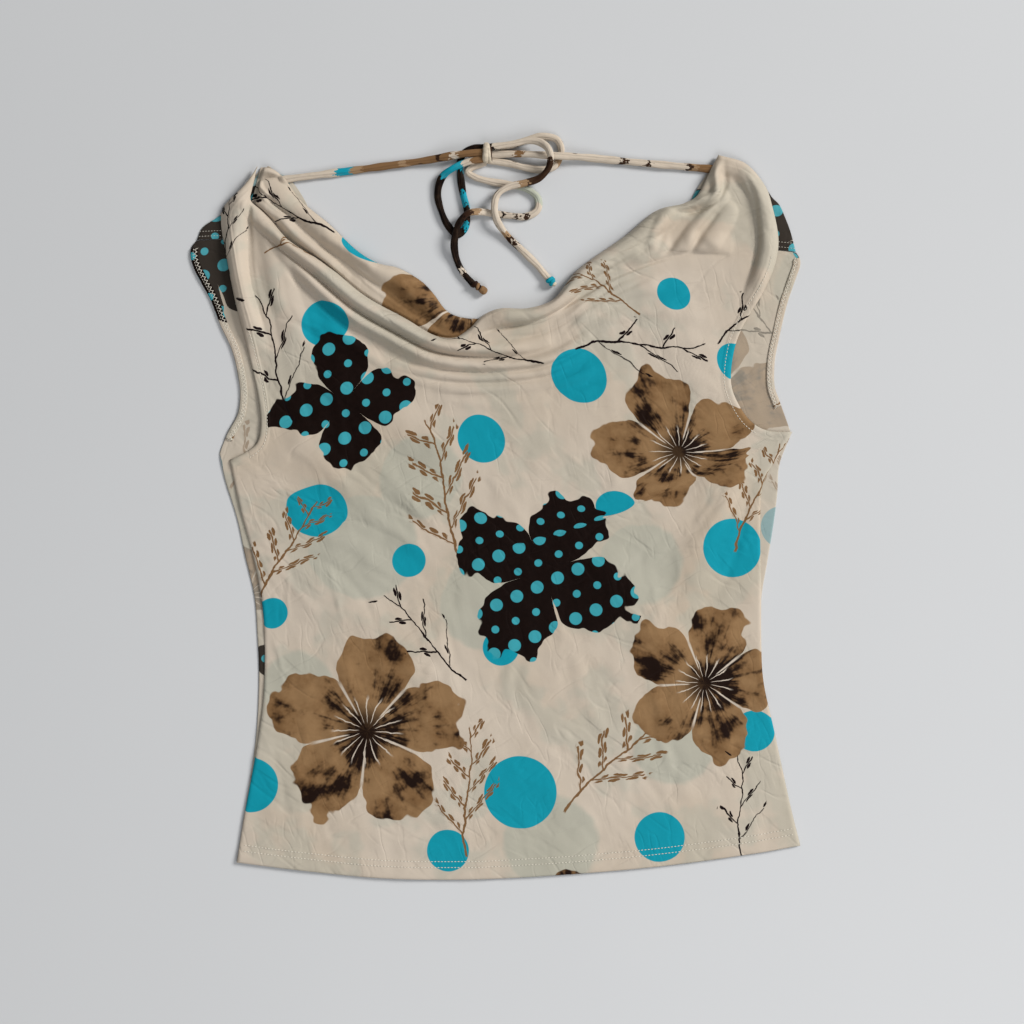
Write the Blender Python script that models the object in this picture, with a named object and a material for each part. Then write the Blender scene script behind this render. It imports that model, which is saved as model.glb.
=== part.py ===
"""A sleeveless cowl neck top, laid flat, face up, with its neck tie in a bow.

Metres, +Z up. The hem is towards -Y and the shoulders towards +Y, and the wearer's right is at -X. The
garment rests on z = 0, on its flat back panel, and the origin lies under the middle of its cloth. The
tables give places in millimetres on the laid-out garment, as (x, y), and a place's height in its own column.
"""

from dataclasses import dataclass

import bmesh
import bpy
import numpy as np

# Driving sizes of the garment
CHEST_WIDTH = 0.4047  # underarm to underarm, laid flat
TABLE_CHEST = 404.7  # the same width in the tables
MM = CHEST_WIDTH / TABLE_CHEST

CLOTH = 0.0012  # wall of each cloth piece
SEAM_GAP = 0.0003  # between pieces that are sewn together or lie on each other
FRONT_TOP = 2 * CLOTH + SEAM_GAP  # upper face of the front where it lies on the back
HEM_DEPTH = 0.0055  # turned-in armhole hem of the back
COWL_LIFT = 0.0028  # the cowl's gathered layers hold the front this far up along the neckline
COWL_LIFT_REACH = 0.030
FOLD_END = 0.16  # share of a fold's length over which it sinks, at each end
FOLD_END_HEIGHT = 0.25  # share of its height that is left there
FACING_FADE = 0.18  # share of the facing's width that flattens out under the front
SAME_PLACE = 0.0001  # outline points nearer than this are one

CORD_DIAMETER = 0.0042
CORD_STEP = 2.6 * CORD_DIAMETER  # along a cord, from point to point
KNOT_SIZE = (0.0066, 0.0158, 0.0102)

# Rows and columns of the front's wall, closer together towards the cowl
FRONT_COLUMNS = 56
BODY_ROWS = 13
CHEST_ROWS = 15
COWL_ROWS = 22
FACING_COLUMNS = 40
FACING_ROWS = 8
UNDERARM_ROW = 0.58  # share of the way from hem to shoulder
COWL_ROW = 0.86
NECK_SHAPE_ROW = 0.88  # below this the rows follow an eased neckline
NECK_EASING = 300

# Outline of the front, millimetres
FRONT_HEM = ((-186.0, -247.9), (-140.0, -253.7), (-78.8, -259.4), (-17.6, -260.1),
             (46.5, -256.9), (117.1, -250.8), (186.9, -241.4), (219.3, -235.7))
FRONT_LEFT_SIDE = ((-186.0, -247.9), (-181.0, -216.9), (-170.9, -160.8), (-166.6, -126.2), (-165.9, -88.1),
                   (-168.0, -59.3), (-174.5, -26.1), (-183.2, 5.5), (-191.1, 41.5))
FRONT_LEFT_ARMHOLE = ((-191.1, 41.5), (-180.3, 46.6), (-171.2, 53.8), (-168.8, 64.6), (-170.2, 84.7),
                      (-178.1, 120.7), (-187.5, 154.6), (-194.3, 190.6), (-196.8, 218.7), (-191.8, 228.0),
                      (-180.3, 239.5), (-170.9, 251.8))
FRONT_RIGHT_SIDE = ((219.3, -235.7), (212.8, -209.7), (200.6, -153.6), (192.7, -116.9), (191.2, -88.1),
                    (191.2, -49.2), (190.5, -5.3), (192.7, 25.7), (204.2, 45.1), (213.6, 61.7))
FRONT_RIGHT_ARMHOLE = ((213.6, 61.7), (194.1, 63.1), (183.3, 69.6), (174.7, 81.9), (169.6, 95.5),
                       (171.8, 120.7), (178.3, 138.0), (194.1, 163.9), (201.3, 181.2), (203.8, 199.2),
                       (199.9, 222.3), (194.1, 238.8), (179.7, 254.7), (160.3, 260.4))
# Upper edge of the front: down the inner edge of the left shoulder flap, along the first rope fold to the
# middle, then up the rolled right side of the neckline
FRONT_NECK = ((-170.9, 251.8), (-172.4, 244.0), (-174.6, 235.0), (-175.8, 228.0), (-165.2, 218.7),
              (-147.9, 199.9), (-122.0, 182.7), (-93.9, 159.6), (-64.4, 143.1), (-42.0, 130.6), (-28.5, 129.6),
              (-18.5, 136.4), (-9.6, 145.6), (2.6, 151.0), (24.2, 151.7), (40.0, 157.5), (58.0, 178.3),
              (92.6, 202.8), (117.1, 221.5), (141.6, 228.0), (153.8, 248.2), (160.3, 260.4))

# The facing's stretch that shows: its folded upper edge, and its lower edge under the front
FACING_NECK = ((-168.6, 252.0), (-162.0, 251.6), (-152.2, 244.6), (-141.4, 230.2), (-119.1, 211.5), (-98.2, 192.0),
               (-83.8, 183.4), (-70.1, 179.8), (-52.8, 169.7), (-44.2, 161.1), (-34.8, 148.8), (-26.2, 144.5),
               (-14.0, 143.1), (-5.0, 144.0))
FACING_LOWER = ((-175.0, 228.0), (-171.5, 222.0), (-161.5, 209.0), (-149.5, 195.6), (-123.0, 176.8), (-95.0, 153.5),
                (-65.5, 137.0), (-42.0, 123.4), (-27.0, 119.5), (-14.0, 125.0), (-5.5, 137.5))

# Outline of the back, millimetres
BACK_HEM = ((-184.8, -246.4), (-140.0, -252.2), (-78.8, -257.9), (-17.6, -258.6), (46.5, -255.4),
            (117.1, -249.3), (186.9, -239.9), (218.4, -234.2))
BACK_RIGHT_SIDE = ((218.4, -234.2), (212.1, -209.7), (199.9, -153.6), (192.7, -116.9), (191.2, -88.1),
                   (191.4, -57.8), (195.6, -31.9), (199.9, -5.3), (202.8, 17.1), (204.2, 37.9), (212.8, 60.3))
BACK_RIGHT_ARMHOLE = ((212.8, 60.3), (204.2, 84.7), (201.0, 94.1), (201.0, 112.1), (204.2, 129.4),
                      (210.0, 153.9), (216.4, 172.6), (219.3, 181.2), (219.3, 185.5), (216.4, 190.6))
BACK_NECK = ((134.4, 199.9), (118.5, 189.1), (82.5, 156.7), (39.3, 127.9), (3.3, 120.7), (-32.7, 124.3),
             (-68.7, 138.7), (-108.3, 174.7), (-131.0, 203.5))
BACK_LEFT_ARMHOLE = ((-214.8, 199.2), (-218.4, 194.9), (-219.2, 188.4), (-217.0, 179.8), (-211.2, 168.3),
                     (-204.8, 156.7), (-197.6, 138.0), (-189.6, 120.7), (-185.3, 103.5), (-183.5, 89.1),
                     (-185.3, 74.7), (-192.5, 61.0), (-198.3, 46.6))
BACK_LEFT_SIDE = ((-198.3, 46.6), (-194.0, 25.7), (-189.6, 12.0), (-185.3, -2.4), (-180.3, -26.1),
                  (-173.1, -57.8), (-171.2, -83.7), (-170.2, -102.5), (-170.2, -124.1), (-172.4, -160.8),
                  (-181.0, -216.9), (-184.8, -246.4))

# The front's shoulders behind the fold, down to the back's shoulder seams
LEFT_RETURN_OUTER = ((-214.5, 199.8), (-210.5, 208.6), (-197.5, 217.9), (-190.6, 226.6), (-179.1, 238.1),
                     (-170.4, 248.6))
LEFT_RETURN_INNER = ((-165.2, 249.4), (-152.6, 243.3), (-140.7, 228.7), (-131.2, 204.1))
RIGHT_RETURN_OUTER = ((216.1, 191.2), (212.1, 206.4), (208.5, 215.8), (204.2, 225.1), (199.2, 230.2),
                      (196.3, 234.5), (191.7, 238.8), (178.5, 252.6), (161.2, 258.6))
RIGHT_RETURN_INNER = ((154.8, 251.2), (141.2, 228.7), (134.6, 200.5))


@dataclass(frozen=True)
class Fold:
    """A ridge of cloth along a route, or a crease where its height is negative. Millimetres.

    lean is how far its crest tips over, to the left of the route's direction, or to the right if negative.
    """

    height: float
    half_width: float
    lean: float
    route: tuple


FRONT_FOLDS = (
    # The cowl: the first rope fold, the bands below it, and the drapes across the middle
    Fold(6.4, 9.0, -1.5, ((-172.0, 214.5), (-152.0, 195.0), (-126.0, 177.5), (-98.0, 154.5), (-68.5, 138.0),
                          (-42.0, 125.0), (-14.0, 121.5), (16.0, 122.0))),
    Fold(3.0, 6.5, -0.8, ((-148.0, 184.0), (-119.1, 162.0), (-98.9, 144.5), (-73.7, 129.5), (-48.0, 113.5))),
    Fold(2.6, 6.0, -0.8, ((-60.0, 110.5), (-32.0, 106.5), (3.3, 106.5), (35.7, 111.0), (60.0, 121.0))),
    Fold(1.8, 6.0, -0.6, ((-50.0, 97.0), (-20.0, 93.5), (15.0, 94.0), (50.0, 100.0), (82.0, 110.0))),
    # The rolled right side of the neckline, and the strands that meet it
    Fold(6.0, 8.5, -1.7, ((-13.0, 137.5), (-3.0, 143.5), (12.0, 146.0), (30.0, 147.5), (46.0, 158.0),
                          (64.0, 175.5), (95.0, 196.0), (118.0, 213.0), (143.0, 221.0))),
    Fold(-2.6, 7.0, 0.0, ((46.5, 147.5), (69.5, 165.5), (90.0, 175.5), (112.0, 183.0), (140.0, 190.0))),
    Fold(2.2, 8.0, -0.8, ((50.0, 138.0), (74.0, 154.0), (98.0, 164.0), (124.0, 168.5))),
    # The left shoulder: the rounded flap, and the pleat beside it
    Fold(4.4, 10.5, 1.6, ((-181.0, 234.0), (-184.5, 222.0), (-185.0, 206.0), (-184.0, 190.0), (-179.0, 160.0),
                          (-171.0, 130.0))),
    Fold(2.0, 14.0, 0.0, ((-158.0, 194.0), (-154.0, 176.0), (-146.0, 150.0), (-140.0, 118.0))),
    # The right shoulder: the broad trough below its tip, and the ridges beside it
    Fold(5.2, 10.0, -1.2, ((168.0, 251.0), (181.0, 241.0), (191.0, 224.0), (194.5, 204.0), (190.0, 180.0),
                           (181.0, 158.0))),
    Fold(-2.2, 9.5, 0.0, ((160.5, 245.0), (169.0, 230.0), (173.5, 214.0), (177.5, 196.0), (177.0, 160.0))),
    Fold(3.4, 9.0, 0.0, ((155.0, 244.0), (157.0, 226.0), (160.5, 206.0), (168.0, 184.0))),
    Fold(3.2, 7.5, -0.8, ((122.0, 216.5), (140.0, 219.0), (156.0, 223.0))),
    Fold(-1.8, 8.0, 0.0, ((114.0, 205.0), (130.0, 201.5), (143.0, 206.0), (152.0, 214.0))),
    # The body: long soft creases from the underarms and the cowl's corners
    Fold(1.8, 24.0, 0.0, ((-158.0, 62.0), (-120.0, 40.0), (-78.0, 22.0), (-38.0, 12.0))),
    Fold(1.6, 24.0, 0.0, ((-128.0, 112.0), (-96.0, 84.0), (-58.0, 62.0), (-16.0, 50.0))),
    Fold(2.0, 22.0, 0.0, ((182.0, 52.0), (164.0, 22.0), (150.0, -18.0), (142.0, -60.0))),
    Fold(1.4, 26.0, 0.0, ((112.0, 158.0), (138.0, 130.0), (152.0, 98.0), (162.0, 72.0))),
    Fold(1.8, 30.0, 0.0, ((-150.0, -40.0), (-104.0, -66.0), (-60.0, -104.0), (-30.0, -150.0))),
    Fold(1.8, 30.0, 0.0, ((60.0, -20.0), (98.0, -58.0), (128.0, -108.0), (140.0, -168.0))),
)

FACING_FOLDS = (
    Fold(5.0, 10.0, -1.0, ((-166.0, 243.0), (-150.0, 234.0), (-136.0, 218.0), (-114.0, 200.5), (-92.0, 182.5),
                           (-70.0, 171.0), (-50.0, 157.0), (-34.0, 142.0))),
    Fold(2.8, 7.0, -0.6, ((-170.0, 230.0), (-153.0, 213.0), (-132.0, 199.0), (-108.0, 183.0), (-86.0, 165.0))),
)


@dataclass(frozen=True)
class Cord:
    """A stretch of the neck tie, its route as (x, y, height) in millimetres."""

    name: str
    colour: str
    route: tuple


CORDS = (
    Cord("tie_strap_left", "cream", (
        (-149.2, 243.4, 2.1), (-111.9, 248.2, 2.1), (-72.0, 253.6, 2.1), (-50.0, 256.4, 3.4),
        (-34.0, 258.6, 6.2), (-23.5, 260.2, 6.8), (-9.9, 261.4, 6.6))),
    Cord("tie_strap_right", "cream", (
        (152.6, 250.7, 2.1), (104.1, 255.0, 2.1), (78.0, 257.4, 2.6), (60.9, 258.6, 4.6),
        (45.5, 258.9, 6.9), (36.0, 259.4, 6.6), (19.2, 260.9, 4.2), (-2.3, 260.8, 3.4))),
    Cord("tie_loop_left", "brown", (
        (-9.9, 265.6, 2.1), (-16.1, 265.3, 2.1), (-21.8, 262.6, 2.1), (-25.3, 256.0, 2.1),
        (-25.2, 247.0, 2.1), (-23.2, 233.0, 2.1), (-20.3, 220.0, 2.1), (-21.2, 209.4, 2.1),
        (-27.0, 203.4, 2.1), (-33.4, 209.0, 2.1), (-39.0, 221.0, 2.1), (-41.4, 233.4, 2.1),
        (-38.0, 244.4, 3.9), (-31.0, 249.6, 6.7), (-20.6, 254.2, 6.9), (-9.9, 256.6, 6.6))),
    Cord("tie_loop_right", "cream", (
        (-2.3, 265.6, 2.1), (12.0, 267.6, 2.1), (23.0, 271.6, 2.1), (34.0, 273.9, 2.1),
        (44.0, 271.8, 2.1), (47.4, 265.0, 2.1), (46.0, 257.4, 2.1), (42.0, 252.4, 2.1),
        (34.0, 250.0, 2.1), (22.0, 251.4, 2.1), (10.0, 254.4, 2.1), (-2.3, 256.3, 2.1))),
    Cord("tie_tail_right", "cream", (
        (-2.3, 265.4, 6.7), (12.0, 267.4, 6.7), (22.8, 269.6, 6.9), (31.0, 268.6, 8.4),
        (37.2, 263.6, 11.6), (39.4, 257.6, 12.4), (38.2, 250.0, 9.4), (31.8, 243.2, 6.9),
        (21.0, 239.4, 6.7), (9.2, 236.6, 6.7), (1.6, 231.2, 6.7), (-0.6, 222.6, 6.7),
        (1.2, 213.0, 6.2), (8.4, 202.6, 2.9), (18.6, 192.8, 2.1), (29.4, 182.2, 2.1),
        (37.6, 172.4, 2.3))),
    Cord("tie_tail_left", "brown", (
        (-9.9, 254.6, 2.1), (-17.2, 251.6, 2.1), (-20.0, 248.6, 2.1), (-14.4, 244.6, 2.1),
        (-3.9, 241.6, 2.1), (10.5, 239.2, 2.1), (22.0, 236.4, 2.1), (30.6, 229.6, 2.1),
        (30.2, 221.0, 2.1), (22.0, 216.4, 2.1), (10.5, 217.0, 2.1), (-2.0, 218.6, 2.1),
        (-11.0, 219.4, 4.2), (-19.6, 217.8, 6.7), (-25.6, 211.4, 6.8), (-28.4, 203.0, 6.7),
        (-29.4, 194.6, 5.0), (-27.4, 184.6, 2.3), (-22.8, 175.6, 2.1), (-17.3, 169.4, 2.3))),
)


@dataclass(frozen=True)
class EndKnot:
    """The overhand knot at a tail's tip, millimetres."""

    name: str
    colour: str
    at: tuple
    size: tuple
    turned: float  # degrees from +X


END_KNOTS = (
    EndKnot("tail_knot_right", "turquoise", (40.2, 169.8), (6.6, 5.8, 5.6), -45.0),
    EndKnot("tail_knot_left", "brown", (-12.0, 165.6), (12.2, 5.2, 5.2), -35.0),
)

COLOURS = {
    "cream": (0.72, 0.58, 0.45),
    "paler_cream": (0.66, 0.57, 0.45),
    "brown": (0.05, 0.025, 0.015),
    "turquoise": (0.02, 0.36, 0.46),
}


def clear_scene():
    for item in list(bpy.data.objects):
        bpy.data.objects.remove(item)


def material(colour):
    name = f"jersey_{colour}"
    found = bpy.data.materials.get(name)
    if found:
        return found
    made = bpy.data.materials.new(name)
    made.use_nodes = True
    shader = made.node_tree.nodes["Principled BSDF"]
    shader.inputs["Base Color"].default_value = (*COLOURS[colour], 1.0)
    shader.inputs["Roughness"].default_value = 0.55
    shader.inputs["Metallic"].default_value = 0.0
    return made


def make_object(name, points, faces, colour):
    mesh = bpy.data.meshes.new(name)
    mesh.from_pydata([tuple(point) for point in points], [], faces)
    work = bmesh.new()
    work.from_mesh(mesh)
    bmesh.ops.recalc_face_normals(work, faces=work.faces)
    work.to_mesh(mesh)
    work.free()
    mesh.materials.append(material(colour))
    mesh.shade_smooth()
    made = bpy.data.objects.new(name, mesh)
    bpy.context.scene.collection.objects.link(made)
    return made


def smooth_curve(points, count):
    """count points, evenly spaced, on a smooth curve through the given ones."""
    given = np.array(points, float)
    ends = np.vstack([2 * given[0] - given[1], given, 2 * given[-1] - given[-2]])
    knots = np.concatenate([[0], np.cumsum(np.sqrt(np.linalg.norm(np.diff(ends, axis=0), axis=1)))])
    fine = []
    for i in range(1, len(ends) - 2):
        t0, t1, t2, t3 = knots[i - 1:i + 3]
        p0, p1, p2, p3 = ends[i - 1:i + 3]
        t = np.linspace(t1, t2, 24, endpoint=False)[:, None]
        a1 = (t1 - t) / (t1 - t0) * p0 + (t - t0) / (t1 - t0) * p1
        a2 = (t2 - t) / (t2 - t1) * p1 + (t - t1) / (t2 - t1) * p2
        a3 = (t3 - t) / (t3 - t2) * p2 + (t - t2) / (t3 - t2) * p3
        b1 = (t2 - t) / (t2 - t0) * a1 + (t - t0) / (t2 - t0) * a2
        b2 = (t3 - t) / (t3 - t1) * a2 + (t - t1) / (t3 - t1) * a3
        fine.append((t2 - t) / (t2 - t1) * b1 + (t - t1) / (t2 - t1) * b2)
    fine = np.vstack([*fine, given[-1:]])
    along = np.concatenate([[0], np.cumsum(np.linalg.norm(np.diff(fine, axis=0), axis=1))])
    wanted = np.linspace(0, along[-1], count)
    return np.stack([np.interp(wanted, along, fine[:, k]) for k in range(fine.shape[1])], 1)


def length_of(points):
    return float(np.linalg.norm(np.diff(points, axis=0), axis=1).sum())


def distance_along(places, route):
    """For each (x, y): its distance to a route, how far along it that is, from 0 to 1, and the way left there."""
    starts, spans = route[:-1], np.diff(route, axis=0)
    lengths = np.linalg.norm(spans, axis=1)
    before = np.concatenate([[0], np.cumsum(lengths)])
    offset = places[..., None, :] - starts
    share = np.clip((offset * spans).sum(-1) / lengths**2, 0, 1)
    gaps = np.linalg.norm(offset - share[..., None] * spans, axis=-1)
    nearest = gaps.argmin(-1)
    picked = np.take_along_axis(share, nearest[..., None], -1)[..., 0]
    along = (before[nearest] + picked * lengths[nearest]) / before[-1]
    left = np.stack([-spans[:, 1], spans[:, 0]], 1) / lengths[:, None]
    return gaps.min(-1), along, left[nearest]


def smooth_step(share):
    share = np.clip(share, 0, 1)
    return share * share * (3 - 2 * share)


def folded(places, folds):
    """The folds' summed height and sideways lean at each (x, y). Each fold sinks towards its ends."""
    height, lean = np.zeros(places.shape[:-1]), np.zeros(places.shape)
    for fold in folds:
        route = smooth_curve(np.array(fold.route) * MM, 40)
        gap, along, left = distance_along(places, route)
        across = 0.5 + 0.5 * np.cos(np.pi * np.clip(gap / (fold.half_width * MM), 0, 1))
        ends = smooth_step(along / FOLD_END) * smooth_step((1 - along) / FOLD_END)
        rise = across * (FOLD_END_HEIGHT + (1 - FOLD_END_HEIGHT) * ends)
        height += fold.height * MM * rise
        lean += (fold.lean * MM * rise)[..., None] * left
    return height, lean


def patch(bottom, top, left, right, columns, rows):
    """(row, column, xy) places that fill four edges, each a function of its share of the way."""
    u, v = columns[None, :, None], rows[:, None, None]
    low, high = bottom(columns)[None], top(columns)[None]
    west, east = left(rows)[:, None], right(rows)[:, None]
    corners = ((1 - u) * (1 - v) * low[:, :1] + u * (1 - v) * low[:, -1:]
               + (1 - u) * v * high[:, :1] + u * v * high[:, -1:])
    return (1 - v) * low + v * high + (1 - u) * west + u * east - corners


def edge(*stretches, join=None):
    """A function from the share of the way to (x, y), along one stretch, or two that meet at share join."""
    curves = [smooth_curve(np.array(stretch) * MM, 160) for stretch in stretches]
    marks = [0.0, 1.0] if join is None else [0.0, join, 1.0]
    shares = np.concatenate([np.linspace(a, b, 160) for a, b in zip(marks, marks[1:])])
    points = np.vstack(curves)
    keep = np.concatenate([[True], np.diff(shares) > 0])
    return line_function(points[keep], shares[keep])


def line_function(points, shares=None):
    """A function from the share of the way to (x, y), through points at the given shares, or evenly spaced."""
    shares = np.linspace(0, 1, len(points)) if shares is None else shares
    return lambda at: np.stack([np.interp(at, shares, points[:, k]) for k in range(2)], 1)


def eased_line(points, passes):
    """The line with its bends softened, its ends kept."""
    eased = np.array(points)
    for _ in range(passes):
        eased[1:-1] = (eased[:-2] + 2 * eased[1:-1] + eased[2:]) / 4
    return eased


def wall(name, places, tops, colour):
    """A closed wall of cloth: its upper face at the given heights, and its lower one CLOTH further in."""
    upper = np.concatenate([places, tops[..., None]], -1)
    normal = np.cross(np.gradient(upper, axis=1), np.gradient(upper, axis=0))
    normal /= np.linalg.norm(normal, axis=-1, keepdims=True)
    lower = upper - CLOTH * normal
    rows, columns = tops.shape
    count = rows * columns
    points = np.vstack([upper.reshape(-1, 3), lower.reshape(-1, 3)])
    index = np.arange(count).reshape(rows, columns)
    faces = []
    for r in range(rows - 1):
        for c in range(columns - 1):
            quad = (index[r, c], index[r, c + 1], index[r + 1, c + 1], index[r + 1, c])
            faces.append(tuple(int(i) for i in quad))
            faces.append(tuple(int(i) + count for i in reversed(quad)))
    rim = [*index[0], *index[1:, -1], *index[-1, -2::-1], *index[-2:0:-1, 0]]
    for a, b in zip(rim, rim[1:] + rim[:1]):
        faces.append((int(a), int(a) + count, int(b) + count, int(b)))
    return make_object(name, points, faces, colour)


def flat_piece(name, outline, low, colour):
    """A flat piece of cloth with the given outline, its lower face at height low."""
    count = len(outline)
    lower = np.column_stack([outline, np.full(count, low)])
    upper = lower + (0, 0, CLOTH)
    faces = [tuple(range(count)), tuple(range(2 * count - 1, count - 1, -1))]
    faces += [(i, (i + 1) % count, count + (i + 1) % count, count + i) for i in range(count)]
    made = make_object(name, np.vstack([lower, upper]), faces, colour)
    work = bmesh.new()
    work.from_mesh(made.data)
    bmesh.ops.triangulate(work, faces=work.faces, quad_method="BEAUTY", ngon_method="BEAUTY")
    work.to_mesh(made.data)
    work.free()
    return made


def outline_of(*stretches, step=0.009):
    """One closed outline through the stretches, each smoothed, with a point about every step."""
    tables = [np.array(stretch) * MM for stretch in stretches]
    points = np.vstack([smooth_curve(table, max(3, round(length_of(table) / step))) for table in tables])
    from_last = np.linalg.norm(points - np.roll(points, 1, axis=0), axis=1)
    return points[from_last > SAME_PLACE]


def front_panel():
    columns = np.linspace(0, 1, FRONT_COLUMNS + 1)
    rows = np.concatenate([
        np.linspace(0, UNDERARM_ROW, BODY_ROWS, endpoint=False),
        np.linspace(UNDERARM_ROW, COWL_ROW, CHEST_ROWS, endpoint=False),
        np.linspace(COWL_ROW, 1, COWL_ROWS + 1),
    ])
    neck = edge(FRONT_NECK)(np.linspace(0, 1, 161))
    eased = eased_line(neck, NECK_EASING)
    places = patch(
        edge(FRONT_HEM), line_function(eased),
        edge(FRONT_LEFT_SIDE, FRONT_LEFT_ARMHOLE, join=UNDERARM_ROW),
        edge(FRONT_RIGHT_SIDE, FRONT_RIGHT_ARMHOLE, join=UNDERARM_ROW),
        columns, rows,
    )
    near_neck = smooth_step((rows - NECK_SHAPE_ROW) / (1 - NECK_SHAPE_ROW))[:, None, None]
    places = places + near_neck * line_function(neck - eased)(columns)[None]
    from_neck, _, _ = distance_along(places, neck)
    lift = COWL_LIFT * smooth_step(1 - from_neck / COWL_LIFT_REACH)
    height, lean = folded(places, FRONT_FOLDS)
    tops = FRONT_TOP + np.maximum(lift + height, 0.6 * lift)
    return wall("front_panel", places + lean, tops, "cream")


def cowl_facing():
    columns, rows = np.linspace(0, 1, FACING_COLUMNS + 1), np.linspace(0, 1, FACING_ROWS + 1)
    ends = ((FACING_LOWER[0], FACING_NECK[0]), (FACING_LOWER[-1], FACING_NECK[-1]))
    left, right = (edge((a, ((a[0] + b[0]) / 2, (a[1] + b[1]) / 2), b)) for a, b in ends)
    places = patch(edge(FACING_LOWER), edge(FACING_NECK), left, right, columns, rows)
    shown = smooth_step((1 - columns) / FACING_FADE)[None, :]
    height, lean = folded(places, FACING_FOLDS)
    return wall("cowl_facing", places + lean * shown[..., None], FRONT_TOP + height * shown, "cream")


def back_panel():
    outline = outline_of(BACK_HEM, BACK_RIGHT_SIDE, BACK_RIGHT_ARMHOLE, BACK_NECK, BACK_LEFT_ARMHOLE,
                         BACK_LEFT_SIDE)
    return flat_piece("back_panel", outline, 0.0, "paler_cream")


def shoulder_return(side, outer, inner):
    outline = outline_of(outer, inner)
    return flat_piece(f"shoulder_return_{side}", outline, 0.0, "paler_cream")


def armhole_hem(side, armhole, first, last):
    """The back's turned-in armhole hem: a strip inside its armhole edge, lying on the back."""
    line = smooth_curve(np.array(armhole) * MM, 60)
    shares = np.linspace(first, last, 24)
    outer = np.stack([np.interp(shares, np.linspace(0, 1, 60), line[:, k]) for k in range(2)], 1)
    across = np.gradient(outer, axis=0)
    across = np.stack([-across[:, 1], across[:, 0]], 1)
    across /= np.linalg.norm(across, axis=1, keepdims=True)
    edges = outer + 0.0002 * across, outer + HEM_DEPTH * across
    outline = np.vstack([edges[0], edges[1][::-1]])
    return flat_piece(f"back_armhole_hem_{side}", outline, CLOTH + SEAM_GAP, "cream")


def cord(stretch):
    """A round cord along a smooth curve through its route."""
    route = np.array(stretch.route) * MM
    fine = smooth_curve(route, 400)
    points = smooth_curve(route, max(4, round(length_of(fine) / CORD_STEP) + 1))
    points[:, 2] = np.maximum(points[:, 2], CORD_DIAMETER / 2 + 0.00002)
    data = bpy.data.curves.new(stretch.name, "CURVE")
    data.dimensions = "3D"
    data.bevel_depth = CORD_DIAMETER / 2
    data.bevel_resolution = 2
    data.use_fill_caps = True
    spline = data.splines.new("POLY")
    spline.points.add(len(points) - 1)
    for target, point in zip(spline.points, points):
        target.co = (*point, 1.0)
    data.materials.append(material(stretch.colour))
    made = bpy.data.objects.new(stretch.name, data)
    bpy.context.scene.collection.objects.link(made)
    return made


def pebble(name, centre, size, turned, colour, segments=12, rings=8):
    """A rounded block: a superellipsoid of the given size, its lowest point on z = 0."""
    around = np.linspace(0, 2 * np.pi, segments, endpoint=False)
    up = np.linspace(-np.pi / 2, np.pi / 2, rings + 1)[1:-1]

    def rounded(value):
        return np.sign(value) * np.abs(value) ** 0.7

    points = [(0, 0, -0.5)]
    for level in up:
        points += [(0.5 * rounded(np.cos(level)) * rounded(np.cos(a)),
                    0.5 * rounded(np.cos(level)) * rounded(np.sin(a)), 0.5 * rounded(np.sin(level)))
                   for a in around]
    points.append((0, 0, 0.5))
    points = np.array(points) * size
    turn = np.radians(turned)
    spun = np.column_stack([points[:, 0] * np.cos(turn) - points[:, 1] * np.sin(turn),
                            points[:, 0] * np.sin(turn) + points[:, 1] * np.cos(turn), points[:, 2]])
    spun += (*centre, size[2] / 2)
    faces, last = [], len(points) - 1
    for i in range(segments):
        after = (i + 1) % segments
        faces.append((0, 1 + after, 1 + i))
        faces.append((last, last - segments + i, last - segments + after))
        for ring in range(len(up) - 1):
            low = 1 + ring * segments
            faces.append((low + i, low + after, low + segments + after, low + segments + i))
    return make_object(name, spun, faces, colour)


def neck_tie():
    for stretch in CORDS:
        cord(stretch)
    pebble("tie_knot", np.array((-6.1, 261.2)) * MM, KNOT_SIZE, 0.0, "cream")
    for knot in END_KNOTS:
        pebble(knot.name, np.array(knot.at) * MM, np.array(knot.size) * MM, knot.turned, knot.colour)


def main():
    clear_scene()
    back_panel()
    shoulder_return("left", LEFT_RETURN_OUTER, LEFT_RETURN_INNER)
    shoulder_return("right", RIGHT_RETURN_OUTER, RIGHT_RETURN_INNER)
    armhole_hem("left", BACK_LEFT_ARMHOLE, 0.04, 0.93)
    armhole_hem("right", BACK_RIGHT_ARMHOLE, 0.16, 0.97)
    cowl_facing()
    front_panel()
    neck_tie()


main()
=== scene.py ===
"""The looks of a sleeveless cowl neck top, laid flat, face up, with its neck tie in a bow.

Metres, +Z up, in the frame of the CAD model: the hem is towards -Y, the shoulders towards +Y, and the
garment rests on z = 0. The tables give places in millimetres on the laid-out garment, as (x, y), and the
cloth's own patterns are laid out in the same way on the flat cloth. Each sub-assembly is a class below.
"""

import logging
import math
from dataclasses import dataclass
from enum import Enum
from typing import Callable

import bpy
import numpy as np
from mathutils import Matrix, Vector
from mathutils.bvhtree import BVHTree


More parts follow.
